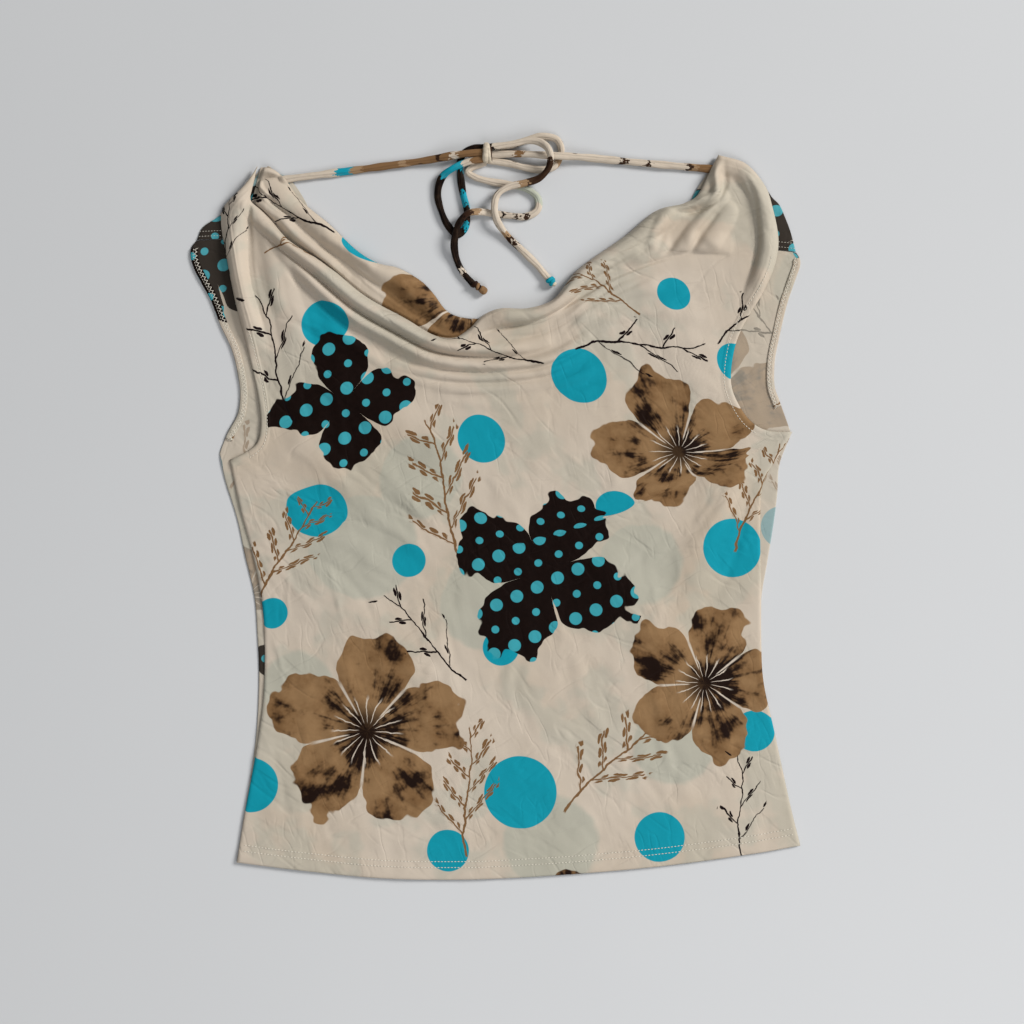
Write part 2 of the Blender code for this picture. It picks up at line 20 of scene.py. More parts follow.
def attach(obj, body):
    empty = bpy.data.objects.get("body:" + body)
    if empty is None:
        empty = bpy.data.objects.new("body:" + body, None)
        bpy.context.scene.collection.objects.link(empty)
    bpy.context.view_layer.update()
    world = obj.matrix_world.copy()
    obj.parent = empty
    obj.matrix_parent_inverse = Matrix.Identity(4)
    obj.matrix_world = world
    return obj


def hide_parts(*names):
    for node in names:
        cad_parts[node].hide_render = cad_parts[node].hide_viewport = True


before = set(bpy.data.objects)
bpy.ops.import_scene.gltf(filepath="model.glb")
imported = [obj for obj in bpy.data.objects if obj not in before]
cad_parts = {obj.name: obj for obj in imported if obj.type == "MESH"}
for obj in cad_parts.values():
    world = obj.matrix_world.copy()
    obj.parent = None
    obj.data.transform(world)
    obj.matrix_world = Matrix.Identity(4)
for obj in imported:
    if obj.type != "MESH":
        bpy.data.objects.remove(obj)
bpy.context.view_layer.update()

LOG = logging.getLogger("cowl_neck_top")
MM = 0.001

FRONT_TOP = 0.0027  # upper face of the front where it lies on the back
COWL_LIFT = 0.0028  # the cowl's gathered layers hold the front this far up along the neckline
COWL_LIFT_REACH = 0.030
FOLD_END = 0.16  # share of a fold's length over which it sinks, at each end
FOLD_END_HEIGHT = 0.25  # share of its height that is left there
UNDERARM_ROW = 0.58  # share of the way from hem to shoulder
BACK_UNDERARM_ROW = 0.64
COWL_ROW = 0.86  # where the rows come closer for the cowl's folds
NECK_SHAPE_ROW = 0.88  # below this the rows follow an eased neckline
NECK_EASING = 300  # how many times it is eased
PLY_END = 0.0012  # over this distance a turned-in ply's edge shows through
JERSEY = 0.0006  # the cloth's thickness
CORD_GIRTH = 0.0022  # radius by which a cord's cloth is laid out flat
CLEAR = 0.00002  # the least height of a cord or a knot over the floor
CORD_STEP = 0.0012  # spacing of a cord's sections
EDGE_GAP = 0.0002  # from the back's armhole to its hem's outer edge
PROUD = 0.6  # how far a stitch stands out of the cloth, in thread radii

Points = np.ndarray
Line = Callable[[Points], Points]
Faces = list[tuple[int, ...]]
Place = tuple[float, float, float]


def xy(*numbers: float) -> Points:
    """Returns (x, y) places, one a row, from their numbers in turn."""
    return np.reshape(np.array(numbers, float), (-1, 2))


# Outline of the front, millimetres
FRONT_HEM = xy(-186, -247.9, -140, -253.7, -78.8, -259.4, -17.6, -260.1, 46.5, -256.9, 117.1, -250.8,
    186.9, -241.4, 219.3, -235.7)
FRONT_LEFT_SIDE = xy(-186, -247.9, -181, -216.9, -170.9, -160.8, -166.6, -126.2, -165.9, -88.1, -168, -59.3,
    -174.5, -26.1, -183.2, 5.5, -191.1, 41.5)
FRONT_LEFT_ARMHOLE = xy(-191.1, 41.5, -180.3, 46.6, -171.2, 53.8, -168.8, 64.6, -170.2, 84.7, -178.1, 120.7,
    -187.5, 154.6, -194.3, 190.6, -196.8, 218.7, -191.8, 228, -180.3, 239.5, -170.9, 251.8)
FRONT_RIGHT_SIDE = xy(219.3, -235.7, 212.8, -209.7, 200.6, -153.6, 192.7, -116.9, 191.2, -88.1, 191.2, -49.2,
    190.5, -5.3, 192.7, 25.7, 204.2, 45.1, 213.6, 61.7)
FRONT_RIGHT_ARMHOLE = xy(213.6, 61.7, 194.1, 63.1, 183.3, 69.6, 174.7, 81.9, 169.6, 95.5, 171.8, 120.7,
    178.3, 138, 194.1, 163.9, 201.3, 181.2, 203.8, 199.2, 199.9, 222.3, 194.1, 238.8, 179.7, 254.7,
    160.3, 260.4)
# Upper edge of the front: down the inner edge of the left shoulder flap, along the first rope fold to the
# middle, then up the rolled right side of the neckline
FRONT_NECK = xy(-170.9, 251.8, -172.4, 244, -174.6, 235, -175.8, 228, -165.2, 218.7, -147.9, 199.9,
    -122, 182.7, -93.9, 159.6, -64.4, 143.1, -42, 130.6, -28.5, 129.6, -18.5, 136.4, -9.6, 145.6, 2.6, 151,
    24.2, 151.7, 40, 157.5, 58, 178.3, 92.6, 202.8, 117.1, 221.5, 141.6, 228, 153.8, 248.2, 160.3, 260.4)

# The facing's stretch that shows: its folded upper edge, and its lower edge under the front
FACING_NECK = xy(-168.6, 252, -162, 251.6, -152.2, 244.6, -141.4, 230.2, -119.1, 211.5, -98.2, 192,
    -83.8, 183.4, -70.1, 179.8, -52.8, 169.7, -44.2, 161.1, -34.8, 148.8, -26.2, 144.5, -14, 143.1, -5, 144)
FACING_LOWER = xy(-175, 228, -171.5, 222, -161.5, 209, -149.5, 195.6, -123, 176.8, -95, 153.5, -65.5, 137,
    -42, 123.4, -27, 119.5, -14, 125, -5.5, 137.5)

# Outline of the back, millimetres, each stretch from the hem upwards or from left to right
BACK_HEM = xy(-184.8, -246.4, -140, -252.2, -78.8, -257.9, -17.6, -258.6, 46.5, -255.4, 117.1, -249.3,
    186.9, -239.9, 218.4, -234.2)
BACK_RIGHT_SIDE = xy(218.4, -234.2, 212.1, -209.7, 199.9, -153.6, 192.7, -116.9, 191.2, -88.1, 191.4, -57.8,
    195.6, -31.9, 199.9, -5.3, 202.8, 17.1, 204.2, 37.9, 212.8, 60.3)
BACK_RIGHT_ARMHOLE = xy(212.8, 60.3, 204.2, 84.7, 201, 94.1, 201, 112.1, 204.2, 129.4, 210, 153.9,
    216.4, 172.6, 219.3, 181.2, 219.3, 185.5, 216.4, 190.6)
BACK_LEFT_SIDE = xy(-184.8, -246.4, -181, -216.9, -172.4, -160.8, -170.2, -124.1, -170.2, -102.5,
    -171.2, -83.7, -173.1, -57.8, -180.3, -26.1, -185.3, -2.4, -189.6, 12, -194, 25.7, -198.3, 46.6)
BACK_LEFT_ARMHOLE = xy(-198.3, 46.6, -192.5, 61, -185.3, 74.7, -183.5, 89.1, -185.3, 103.5, -189.6, 120.7,
    -197.6, 138, -204.8, 156.7, -211.2, 168.3, -217, 179.8, -219.2, 188.4, -218.4, 194.9, -214.8, 199.2)
BACK_LEFT_SHOULDER = xy(-214.8, 199.2, -172.9, 201.4, -131, 203.5)
BACK_NECK = xy(-131, 203.5, -108.3, 174.7, -68.7, 138.7, -32.7, 124.3, 3.3, 120.7, 39.3, 127.9, 82.5, 156.7,
    118.5, 189.1, 134.4, 199.9)
BACK_RIGHT_SHOULDER = xy(134.4, 199.9, 175.4, 195.3, 216.4, 190.6)

# Where the tie's left strap comes out from under the cloth, metres
STRAP_LEFT_EXIT = (-0.1515, 0.2430)

# The front's shoulders behind the fold, down to the back's shoulder seams
LEFT_RETURN_OUTER = xy(-214.5, 199.8, -210.5, 208.6, -197.5, 217.9, -190.6, 226.6, -179.1, 238.1,
    -170.4, 248.6)
LEFT_RETURN_INNER = xy(-131.2, 204.1, -134.5, 222, -138.4, 230.6, -150.4, 245.2, -165.2, 249.4)
RIGHT_RETURN_OUTER = xy(216.1, 191.2, 212.1, 206.4, 208.5, 215.8, 204.2, 225.1, 199.2, 230.2, 196.3, 234.5,
    191.7, 238.8, 178.5, 252.6, 161.2, 258.6)
RIGHT_RETURN_INNER = xy(134.6, 200.5, 141.2, 228.7, 154.8, 251.2)

# The stretches of the shoulder seams that show, from left to right
LEFT_SEAM = xy(-213.5, 199.9, -197, 200.7, -180, 201.6)
RIGHT_SEAM = xy(190, 194.2, 203, 192.7, 215.2, 191.3)


class ClothSide(Enum):
    """Which face of the jersey looks up."""

    RIGHT = 0.0
    WRONG = 1.0


class Crest(Enum):
    """How folds are shaped across: soft, or layered with full backs and tight creases, or all sharp."""

    SOFT = 0
    LAYERED = 1
    SHARP = 2


@dataclass(frozen=True)
class Fold:
    """A ridge of cloth along a route, or a crease where its height is negative. Millimetres.

    lean is how far its crest tips over, to the left of the route's direction, or to the right if negative.
    The route gives x and y in turn.
    """

    height: float
    half_width: float
    lean: float
    route: tuple[float, ...]


FRONT_FOLDS: tuple[Fold, ...] = (
    # The cowl: the first rope fold, the bands below it, and the drapes across the middle
    Fold(5.8, 5.9, -0.9, (-178, 222, -169, 213.5, -158, 204, -148, 195.5, -125.5, 178.5, -98, 155,
         -68.5, 138.5, -42, 125, -14, 121.5, 16, 122, 36, 125.5)),
    Fold(4.4, 5.2, -0.8, (-154, 192, -143, 180.5, -131.5, 169.5, -104.5, 146, -74, 128, -46, 114, -16, 110,
         16, 110.5, 44, 116, 66, 130)),
    Fold(2.4, 4.4, -0.5, (-72, 110, -32, 101.5, 3.3, 101.5, 35.7, 105.5, 60, 115)),
    Fold(1.8, 5, -0.5, (-50, 95, -20, 92.5, 15, 93.5, 50, 99, 82, 109)),
    # The rolled right side of the neckline, and the strands that meet it
    Fold(6, 8.5, -1.7, (-13, 137.5, -3, 143.5, 12, 146, 30, 147.5, 46, 158, 64, 175.5, 95, 196, 116, 211,
         132, 220)),
    Fold(-2.6, 7, 0, (46.5, 147.5, 69.5, 165.5, 90, 175.5, 112, 183, 140, 190)),
    Fold(2.2, 8, -0.8, (50, 138, 74, 154, 98, 164, 124, 168.5)),
    # The left shoulder: the rounded flap, and the pleat beside it
    Fold(5.6, 9, 1.8, (-177, 243, -182, 232, -186, 220, -187, 206, -187, 190, -184.5, 170, -178.5, 146,
         -171, 124)),
    Fold(2, 12, 0, (-160, 190, -156, 172, -148, 148, -141, 118)),
    # The right shoulder: its rolled outer edge, the trough beside it, the hollow below the tip, then the fan
    # of ridges with their troughs, from right to left
    Fold(5.6, 8.5, -1.4, (169, 252, 182, 243, 190.5, 230, 195, 213, 196, 195, 191.5, 174, 183, 156)),
    Fold(-3.4, 8.5, 0, (168, 248, 175.5, 238, 179, 225, 178, 209, 176, 186, 175, 160)),
    Fold(-3, 8, 0, (162, 246, 167, 238, 173, 230, 180, 222)),
    Fold(2.6, 8.5, 0, (172, 228, 165, 215, 158, 205, 151, 195)),
    Fold(3.2, 5.5, 0, (168, 236, 160, 228, 152, 218, 141, 205, 134, 196)),
    Fold(-2.3, 5, 0, (160, 221, 150, 208, 143, 197, 138, 188)),
    Fold(-3, 5.5, 0, (137, 216, 130.5, 206, 125, 195, 120, 187)),
    Fold(2.6, 5.5, 0, (128, 224, 119.5, 214, 113.5, 202, 110, 192)),
    Fold(2.5, 8, -2, (92, 182, 106, 190, 122, 195, 136, 197, 152, 197, 172, 196)),
)

# The body's long soft creases, from the underarms and the cowl's corners
BODY_FOLDS: tuple[Fold, ...] = (
    Fold(1.8, 24, 0, (-158, 62, -120, 40, -78, 22, -38, 12)),
    Fold(1.6, 24, 0, (-128, 112, -96, 84, -58, 62, -16, 50)),
    Fold(2, 22, 0, (182, 52, 164, 22, 150, -18, 142, -60)),
    Fold(1.4, 26, 0, (112, 158, 138, 130, 152, 98, 162, 72)),
    Fold(1.8, 30, 0, (-150, -40, -104, -66, -60, -104, -30, -150)),
    Fold(1.8, 30, 0, (60, -20, 98, -58, 128, -108, 140, -168)),
)

# Finer folds of the cowl and the shoulders, and the body's own creases
FRONT_DETAILS: tuple[Fold, ...] = (
    # Below the first rope fold, on the left
    Fold(-2.6, 3, 0, (-178, 214.5, -169, 206.5, -158.5, 197.5, -147.5, 188.5, -126.5, 171.5, -98.5, 148.5,
         -68, 131.5, -40, 118.5, -12, 115.5, 22, 116.5, 50, 126)),
    Fold(-2, 3.6, 0, (-150, 178, -136, 163, -110, 139.5, -80, 121, -52, 107)),
    Fold(0.9, 5, 0, (-120, 138, -92, 118, -64, 102, -34, 95)),
    Fold(0.8, 7, 0, (-150, 150, -128, 138, -104, 122, -78, 104)),
    # The drapes across the middle
    Fold(-1.3, 2.6, 0, (-56, 108.5, -30, 105, 2, 105, 34, 109, 62, 120)),
    Fold(-1.1, 2.6, 0, (-44, 98.5, -14, 96.5, 20, 98, 52, 104, 76, 114)),
    Fold(0.9, 4.5, 0, (-40, 84, -8, 81, 28, 83, 64, 90, 98, 102)),
    Fold(-0.9, 3, 0, (-30, 88, 10, 86.5, 46, 91, 80, 101)),
    # The roll's lower edge and its own strands, on the right
    Fold(-3, 2.8, 0, (-17, 131.5, 0.4, 135.5, 16, 138, 32.8, 143, 49.4, 151.7, 78.2, 169.2, 94.8, 177,
         122.1, 186.3, 140, 189.5, 166, 188.5)),
    Fold(-1.2, 2.6, 0, (8, 129.5, 30, 131.5, 48, 139, 66, 154, 88, 168)),
    Fold(1.2, 4.5, -0.4, (54, 146, 66, 158, 86, 172, 104, 180, 128, 189)),
    Fold(-1, 3.5, 0, (48, 132, 62, 148, 84, 160, 110, 172)),
    Fold(-1.2, 4, 0, (80, 182, 92, 190, 104, 197, 112, 203)),
    Fold(1, 6, 0, (70, 138, 96, 146, 126, 148, 152, 142)),
    Fold(0.9, 5, 0, (86, 122, 112, 128, 138, 128, 160, 118)),
    Fold(-0.8, 5, 0, (94, 112, 120, 114, 146, 108, 164, 94)),
    # The right shoulder's tip
    Fold(4.2, 4.4, -0.8, (160, 257, 158, 247, 159.5, 238, 156.5, 230, 146, 226.5, 130, 224.5)),
    Fold(-3, 3.8, 0, (165, 251, 165, 241, 161.5, 231, 153, 223.5, 141, 219, 130, 219)),
    Fold(-2, 3.4, 0, (179, 246, 186, 232, 188, 214, 188.5, 196, 184, 176)),
    # The left flap
    Fold(-2.8, 3.2, 0, (-175.5, 230, -176, 215, -176.5, 199, -176, 183, -174, 166, -169, 148)),
    Fold(1.1, 5, 0, (-190, 214, -189, 196, -185, 176, -179, 150)),
    Fold(0.9, 6, 0, (-166, 206, -162, 188, -158, 168, -154, 146)),
    # The body, left of the middle
    Fold(0.9, 7, 0, (-141, 56, -112, 26, -83, -2, -47, -30)),
    Fold(-0.8, 6, 0, (-126, 62, -98, 34, -70, 8, -38, -14)),
    Fold(0.8, 6, 0, (-98, 58, -76, 32, -60, 8, -40, -8)),
    Fold(0.7, 8, 0, (-150, 10, -128, -8, -100, -20, -70, -44)),
    Fold(-0.7, 6, 0, (-140, -24, -116, -36, -94, -58, -84, -84)),
    Fold(0.8, 7, 0, (-112, -96, -103, -120, -90, -146, -88, -170)),
    Fold(0.7, 6, 0, (-60, -60, -50, -86, -34, -106, -28, -132)),
    Fold(-0.6, 5, 0, (-70, -104, -58, -126, -54, -150, -40, -168)),
    # The body, right of the middle
    Fold(0.9, 7, 0, (150, 66, 132, 44, 108, 30, 78, 24)),
    Fold(-0.9, 6, 0, (160, 58, 146, 32, 124, 12, 96, 2)),
    Fold(1, 7, 0, (178, 48, 170, 20, 156, -6, 136, -26)),
    Fold(-0.8, 6, 0, (182, 20, 176, -12, 166, -44, 150, -66)),
    Fold(0.8, 7, 0, (168, -70, 160, -100, 158, -134, 166, -170)),
    Fold(0.7, 7, 0, (40, -74, 58, -100, 66, -132, 84, -160)),
    Fold(-0.7, 6, 0, (10, -60, 20, -92, 14, -124, 26, -158)),
    Fold(0.6, 6, 0, (104, -110, 118, -136, 122, -166, 136, -192)),
)

FACING_FOLDS: tuple[Fold, ...] = (
    Fold(5, 9.5, -0.8, (-170, 246.5, -159, 234, -149, 226, -136, 218, -119, 204, -102, 191, -86, 179,
         -70, 170, -50, 156, -34, 142)),
    Fold(4.2, 5.2, -0.9, (-173, 231, -162, 222, -152, 214, -143, 204.5, -128, 192, -108, 175)),
)

FACING_DETAILS: tuple[Fold, ...] = (
    # The curl at the tip, the crease below it, and the wall of the hollow beside the flap
    Fold(4, 4.4, 0, (-172, 245, -167, 249.5, -160.5, 249.5, -154, 246)),
    Fold(-2.6, 2.6, 0, (-174, 239.5, -169, 243, -162, 244.6, -153, 244)),
    Fold(4, 3.6, 0, (-170, 250, -170.5, 243, -168.5, 236, -163, 229)),
    # The trough between the two folds, and what lies to its right
    Fold(-2.4, 3, 0, (-173, 239, -165, 231.5, -156, 223.5, -146, 216.5, -137, 210)),
    Fold(-1.3, 3.5, 0, (-146, 212, -132, 200, -114, 187, -96, 174, -76, 159)),
    Fold(-1.5, 4, 0, (-121, 209, -112, 202, -103, 194.5, -94, 186)),
    Fold(1.4, 5, 0, (-126, 201, -112, 195, -98, 187, -84, 178)),
    Fold(-1, 2.8, 0, (-112, 186, -104, 177.5, -94, 168.5)),
    Fold(0.9, 4, 0, (-104, 182, -92, 171, -76, 159, -56, 146)),
    Fold(-0.8, 3.5, 0, (-92, 172, -72, 156, -52, 142, -36, 134)),
    Fold(1, 5, 0, (-70, 170, -58, 158, -46, 150, -32, 138)),
)


@dataclass(frozen=True)
class CreaseField:
    """Fine random creases over part of the cloth, millimetres and degrees, the same for one seed."""

    left: float
    low: float
    right: float
    high: float
    count: int
    angle: float
    spread: float
    length: float
    height: float
    half_width: float
    seed: int

    def folds(self) -> list[Fold]:
        """Returns the field's creases, each a bent line with its own length, height and width."""
        rng = np.random.default_rng(self.seed)
        made = []
        for _ in range(self.count):
            centre = np.array([rng.uniform(self.left, self.right), rng.uniform(self.low, self.high)])
            turn = math.radians(rng.normal(self.angle, self.spread))
            along = np.array([math.cos(turn), math.sin(turn)])
            across = np.array([-along[1], along[0]])
            reach = self.length * rng.uniform(0.35, 1.0) / 2
            bend = reach * rng.uniform(-0.35, 0.35)
            route = np.concatenate([centre - reach * along, centre + bend * across, centre + reach * along])
            height = self.height * rng.uniform(0.45, 1.0) * rng.choice([-1.0, 1.0])
            width = self.half_width * rng.uniform(0.6, 1.4)
            made.append(Fold(height, width, 0.0, tuple(route)))
        return made


BODY_CREASES: tuple[CreaseField, ...] = (
    CreaseField(-170.0, -60.0, 60.0, 95.0, 46, -44.0, 20.0, 62.0, 0.55, 4.2, 11),
    CreaseField(40.0, -70.0, 185.0, 95.0, 34, 40.0, 24.0, 56.0, 0.50, 4.2, 23),
    CreaseField(-165.0, -235.0, 40.0, -50.0, 44, -68.0, 30.0, 58.0, 0.50, 4.6, 31),
    CreaseField(30.0, -230.0, 195.0, -50.0, 36, -60.0, 32.0, 58.0, 0.48, 4.6, 47),
    CreaseField(-150.0, 90.0, -40.0, 165.0, 14, -30.0, 18.0, 46.0, 0.45, 4.2, 53),
    CreaseField(60.0, 90.0, 170.0, 165.0, 14, 12.0, 22.0, 46.0, 0.45, 4.2, 61),
)


def smooth_curve(points: Points, count: int) -> Points:
    """Draws a smooth curve through given points.

    Args:
        points: The points, one a row.
        count: How many points the curve has.

    Returns:
        The curve's points, evenly spaced.
    """
    given = np.array(points, float)
    ends = np.vstack([2 * given[0] - given[1], given, 2 * given[-1] - given[-2]])
    knots = np.concatenate([[0], np.cumsum(np.sqrt(np.linalg.norm(np.diff(ends, axis=0), axis=1)))])
    fine = []
    for i in range(1, len(ends) - 2):
        t0, t1, t2, t3 = knots[i - 1:i + 3]
        p0, p1, p2, p3 = ends[i - 1:i + 3]
        t = np.linspace(t1, t2, 24, endpoint=False)[:, None]
        a1 = (t1 - t) / (t1 - t0) * p0 + (t - t0) / (t1 - t0) * p1
        a2 = (t2 - t) / (t2 - t1) * p1 + (t - t1) / (t2 - t1) * p2
        a3 = (t3 - t) / (t3 - t2) * p2 + (t - t2) / (t3 - t2) * p3
        b1 = (t2 - t) / (t2 - t0) * a1 + (t - t0) / (t2 - t0) * a2
        b2 = (t3 - t) / (t3 - t1) * a2 + (t - t1) / (t3 - t1) * a3
        fine.append((t2 - t) / (t2 - t1) * b1 + (t - t1) / (t2 - t1) * b2)
    line = np.vstack([*fine, given[-1:]])
    along = np.concatenate([[0], np.cumsum(np.linalg.norm(np.diff(line, axis=0), axis=1))])
    wanted = np.linspace(0, along[-1], count)
    return np.stack([np.interp(wanted, along, line[:, k]) for k in range(line.shape[1])], 1)


def length_of(points: Points) -> float:
    """Returns the length of the line through the points."""
    return float(np.linalg.norm(np.diff(points, axis=0), axis=1).sum())


def smooth_step(share: Points) -> Points:
    """Returns 0 to 1 with both ends eased, for a share that is clipped to 0 to 1."""
    share = np.clip(share, 0, 1)
    return share * share * (3 - 2 * share)


def distance_along(places: Points, route: Points) -> tuple[Points, Points, Points]:
    """Measures places against a route.

    Args:
        places: (x, y) places, one a row.
        route: The route's points, one a row.

    Returns:
        Each place's distance to the route, how far along it that is, from 0 to 1, and the way left there.
    """
    spans = np.diff(route, axis=0)
    lengths = np.linalg.norm(spans, axis=1)
    before = np.concatenate([[0], np.cumsum(lengths)])
    gap = np.full(len(places), np.inf)
    along = np.zeros(len(places))
    left = np.zeros_like(places)
    for i, (start, span) in enumerate(zip(route[:-1], spans)):
        offset = places - start
        share = np.clip(offset @ span / lengths[i] ** 2, 0, 1)
        here = np.linalg.norm(offset - share[:, None] * span, axis=1)
        closer = here < gap
        gap[closer] = here[closer]
        along[closer] = (before[i] + share[closer] * lengths[i]) / before[-1]
        left[closer] = np.array([-span[1], span[0]]) / lengths[i]
    return gap, along, left


def folded(places: Points, folds: tuple[Fold, ...] | list[Fold], crest: Crest) -> tuple[Points, Points]:
    """Adds up folds over a grid of places.

    Args:
        places: (x, y) places, rows by columns.
        folds: The folds. Each sinks towards its ends.
        crest: How they are shaped across.

    Returns:
        The summed height and sideways lean at each place, metres.
    """
    flat = places.reshape(-1, 2)
    height, lean = np.zeros(len(flat)), np.zeros_like(flat)
    for fold in folds:
        route = smooth_curve(np.reshape(fold.route, (-1, 2)) * MM, 30)
        reach = fold.half_width * MM
        near = np.all((flat > route.min(0) - reach) & (flat < route.max(0) + reach), axis=1)
        if not near.any():
            continue
        gap, along, left = distance_along(flat[near], route)
        share = np.clip(gap / reach, 0, 1)
        if crest is Crest.SOFT:
            across = 0.5 + 0.5 * np.cos(np.pi * share)
        elif crest is Crest.LAYERED and fold.height > 0:
            across = np.cos(np.pi / 2 * share)
        else:
            across = 1 - np.sin(np.pi / 2 * share)
        ends = smooth_step(along / FOLD_END) * smooth_step((1 - along) / FOLD_END)
        rise = across * (FOLD_END_HEIGHT + (1 - FOLD_END_HEIGHT) * ends)
        height[near] += fold.height * MM * rise
        lean[near] += (fold.lean * MM * rise)[:, None] * left
    return height.reshape(places.shape[:-1]), lean.reshape(places.shape)


def ripples(places: Points, longest: float, shortest: float, height: float, seed: int) -> Points:
    """Makes soft random waves over a grid of places.

    Args:
        places: (x, y) places, rows by columns.
        longest: The longest wave, metres.
        shortest: The shortest wave, metres.
        height: The usual height of the sum, metres.
        seed: Picks the waves.

    Returns:
        The height at each place.
    """
    rng = np.random.default_rng(seed)
    total = np.zeros(places.shape[:-1])
    count = 26
    for wave in np.geomspace(longest, shortest, count):
        turn, phase = rng.uniform(0, 2 * np.pi, 2)
        swing = 2 * np.pi / wave * (places[..., 0] * np.cos(turn) + places[..., 1] * np.sin(turn))
        total += np.cos(swing + phase) * math.sqrt(wave / longest)
    return height * total / math.sqrt(count / 3)


def unit(vectors: Points) -> Points:
    """Returns the vectors, each with a length of 1."""
    return vectors / np.maximum(np.linalg.norm(vectors, axis=-1, keepdims=True), 1e-12)


def bell(gap: Points, reach: float) -> Points:
    """Returns 1 where the gap is 0, fading away over reach on both sides."""
    return np.exp(-(gap / reach) ** 2)


def line_function(points: Points, shares: Points | None = None) -> Line:
    """Makes a line that is looked up by the share of the way, its points at even or at the given shares."""
    marks = np.linspace(0, 1, len(points)) if shares is None else shares
    return lambda at: np.stack([np.interp(at, marks, points[:, k]) for k in range(points.shape[1])], 1)


def edge(*stretches: Points, joins: tuple[float, ...] = ()) -> Line:
    """Makes one edge of a patch, in metres, from stretches in millimetres that meet at the given shares."""
    points = np.vstack([smooth_curve(stretch * MM, 200) for stretch in stretches])
    marks = [0.0, *joins, 1.0]
    shares = np.concatenate([np.linspace(a, b, 200) for a, b in zip(marks, marks[1:])])
    keep = np.concatenate([[True], np.diff(shares) > 0])
    return line_function(points[keep], shares[keep])


def straight(first: Points, last: Points) -> Points:
    """Returns a straight stretch of outline: both ends and the middle."""
    return np.array([first, (first + last) / 2, last])


def beside(table: Points, side: float, depth: float, shares: Points, fine: int) -> Points:
    """Returns points depth metres beside a stretch in millimetres, left of it, or right with side -1."""
    line = line_function(smooth_curve(table * MM, fine))(shares)
    along = np.gradient(line, axis=0)
    return line + depth * unit(side * np.stack([-along[:, 1], along[:, 0]], 1))


def eased_line(points: Points, passes: int) -> Points:
    """Returns the line with its bends softened over a number of passes, its ends kept."""
    eased = np.array(points)
    for _ in range(passes):
        eased[1:-1] = (eased[:-2] + 2 * eased[1:-1] + eased[2:]) / 4
    return eased


def patch(bottom: Line, top: Line, left: Line, right: Line, columns: Points, rows: Points) -> Points:
    """Fills four edges with a grid.

    Args:
        bottom: The lower edge, from left to right.
        top: The upper edge, from left to right.
        left: The left edge, upwards.
        right: The right edge, upwards.
        columns: Each column's share of the way across.
        rows: Each row's share of the way up.

    Returns:
        (x, y) places, rows by columns.
    """
    u, v = columns[None, :, None], rows[:, None, None]
    low, high = bottom(columns)[None], top(columns)[None]
    west, east = left(rows)[:, None], right(rows)[:, None]
    corners = ((1 - u) * (1 - v) * low[:, :1] + u * (1 - v) * low[:, -1:]
               + (1 - u) * v * high[:, :1] + u * v * high[:, -1:])
    return (1 - v) * low + v * high + (1 - u) * west + u * east - corners


def edged_shares(count: int, close: tuple[float, ...]) -> Points:
    """Spaces rows or columns in even steps, with extra ones at the close shares from both ends."""
    near = np.array([0.0, *close])
    step = 1 / count
    middle = np.linspace(near[-1] + step, 1 - near[-1] - step, count - 1)
    return np.concatenate([near, middle, 1 - near[::-1]])


def rolled(top: Points, gap: Points, low: Points | float, reach: float) -> Points:
    """Rounds an edge of cloth down to the height low, from the given reach on."""
    share = np.clip(gap / reach, 0, 1)
    return low + (top - low) * np.sqrt(np.maximum(1 - (1 - share) ** 2, 0))


def raised(places: Points, heights: Points) -> Points:
    """Returns (x, y, z) points from a grid of places and its heights."""
    return np.concatenate([places, heights[..., None]], -1)


def flat_cloth(upper: Points, origin: tuple[float, float]) -> Points:
    """Lays a shaped grid out flat from an origin, its rows as far apart as the cloth between them is long."""
    steps = np.linalg.norm(np.diff(upper, axis=0), axis=-1)
    climb = np.concatenate([np.zeros((1, upper.shape[1])), np.cumsum(steps, axis=0)])
    return np.stack([upper[..., 0] + origin[0], upper[:1, :, 1] + climb + origin[1]], -1)


def gap_to(places: Points, *tables: Points) -> Points:
    """Returns a grid's distances to the nearest of some stretches of outline in millimetres."""
    gaps = []
    for points in (table * MM for table in tables):
        line = smooth_curve(points, max(24, int(length_of(points) / 0.004)))
        gaps.append(distance_along(places.reshape(-1, 2), line)[0])
    return np.min(gaps, axis=0).reshape(places.shape[:-1])


def new_object(name: str, points: Points, faces: Faces) -> bpy.types.Object:
    """Makes a smooth-shaded mesh object in the scene, each face turning left seen from outside."""
    mesh = bpy.data.meshes.new(name)
    mesh.from_pydata(np.asarray(points, float).tolist(), [], faces)
    mesh.shade_smooth()
    made = bpy.data.objects.new(name, mesh)
    bpy.context.scene.collection.objects.link(made)
    return made


def set_cloth_map(piece: bpy.types.Object, flat: Points, wrong: Points) -> None:
    """Gives a piece each vertex's place on the flat cloth, and its side, 0 right and 1 wrong."""
    mesh = piece.data
    corners = np.zeros(len(mesh.loops), int)
    mesh.loops.foreach_get("vertex_index", corners)
    layer = mesh.uv_layers.new(name="cloth")
    layer.data.foreach_set("uv", flat[corners].astype(np.float32).ravel())
    side = mesh.attributes.new("wrong_side", "FLOAT", "POINT")
    side.data.foreach_set("value", wrong.astype(np.float32))


def settle(piece: bpy.types.Object, slot: str, *nodes: str) -> None:
    """Rides a finished piece on the garment and lets it stand for CAD nodes."""
    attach(piece, "root")
    if nodes:
        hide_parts(*nodes)
    LOG.info("%s: %d faces, stands for %s", piece.name, len(piece.data.polygons), ", ".join(nodes) or "none")


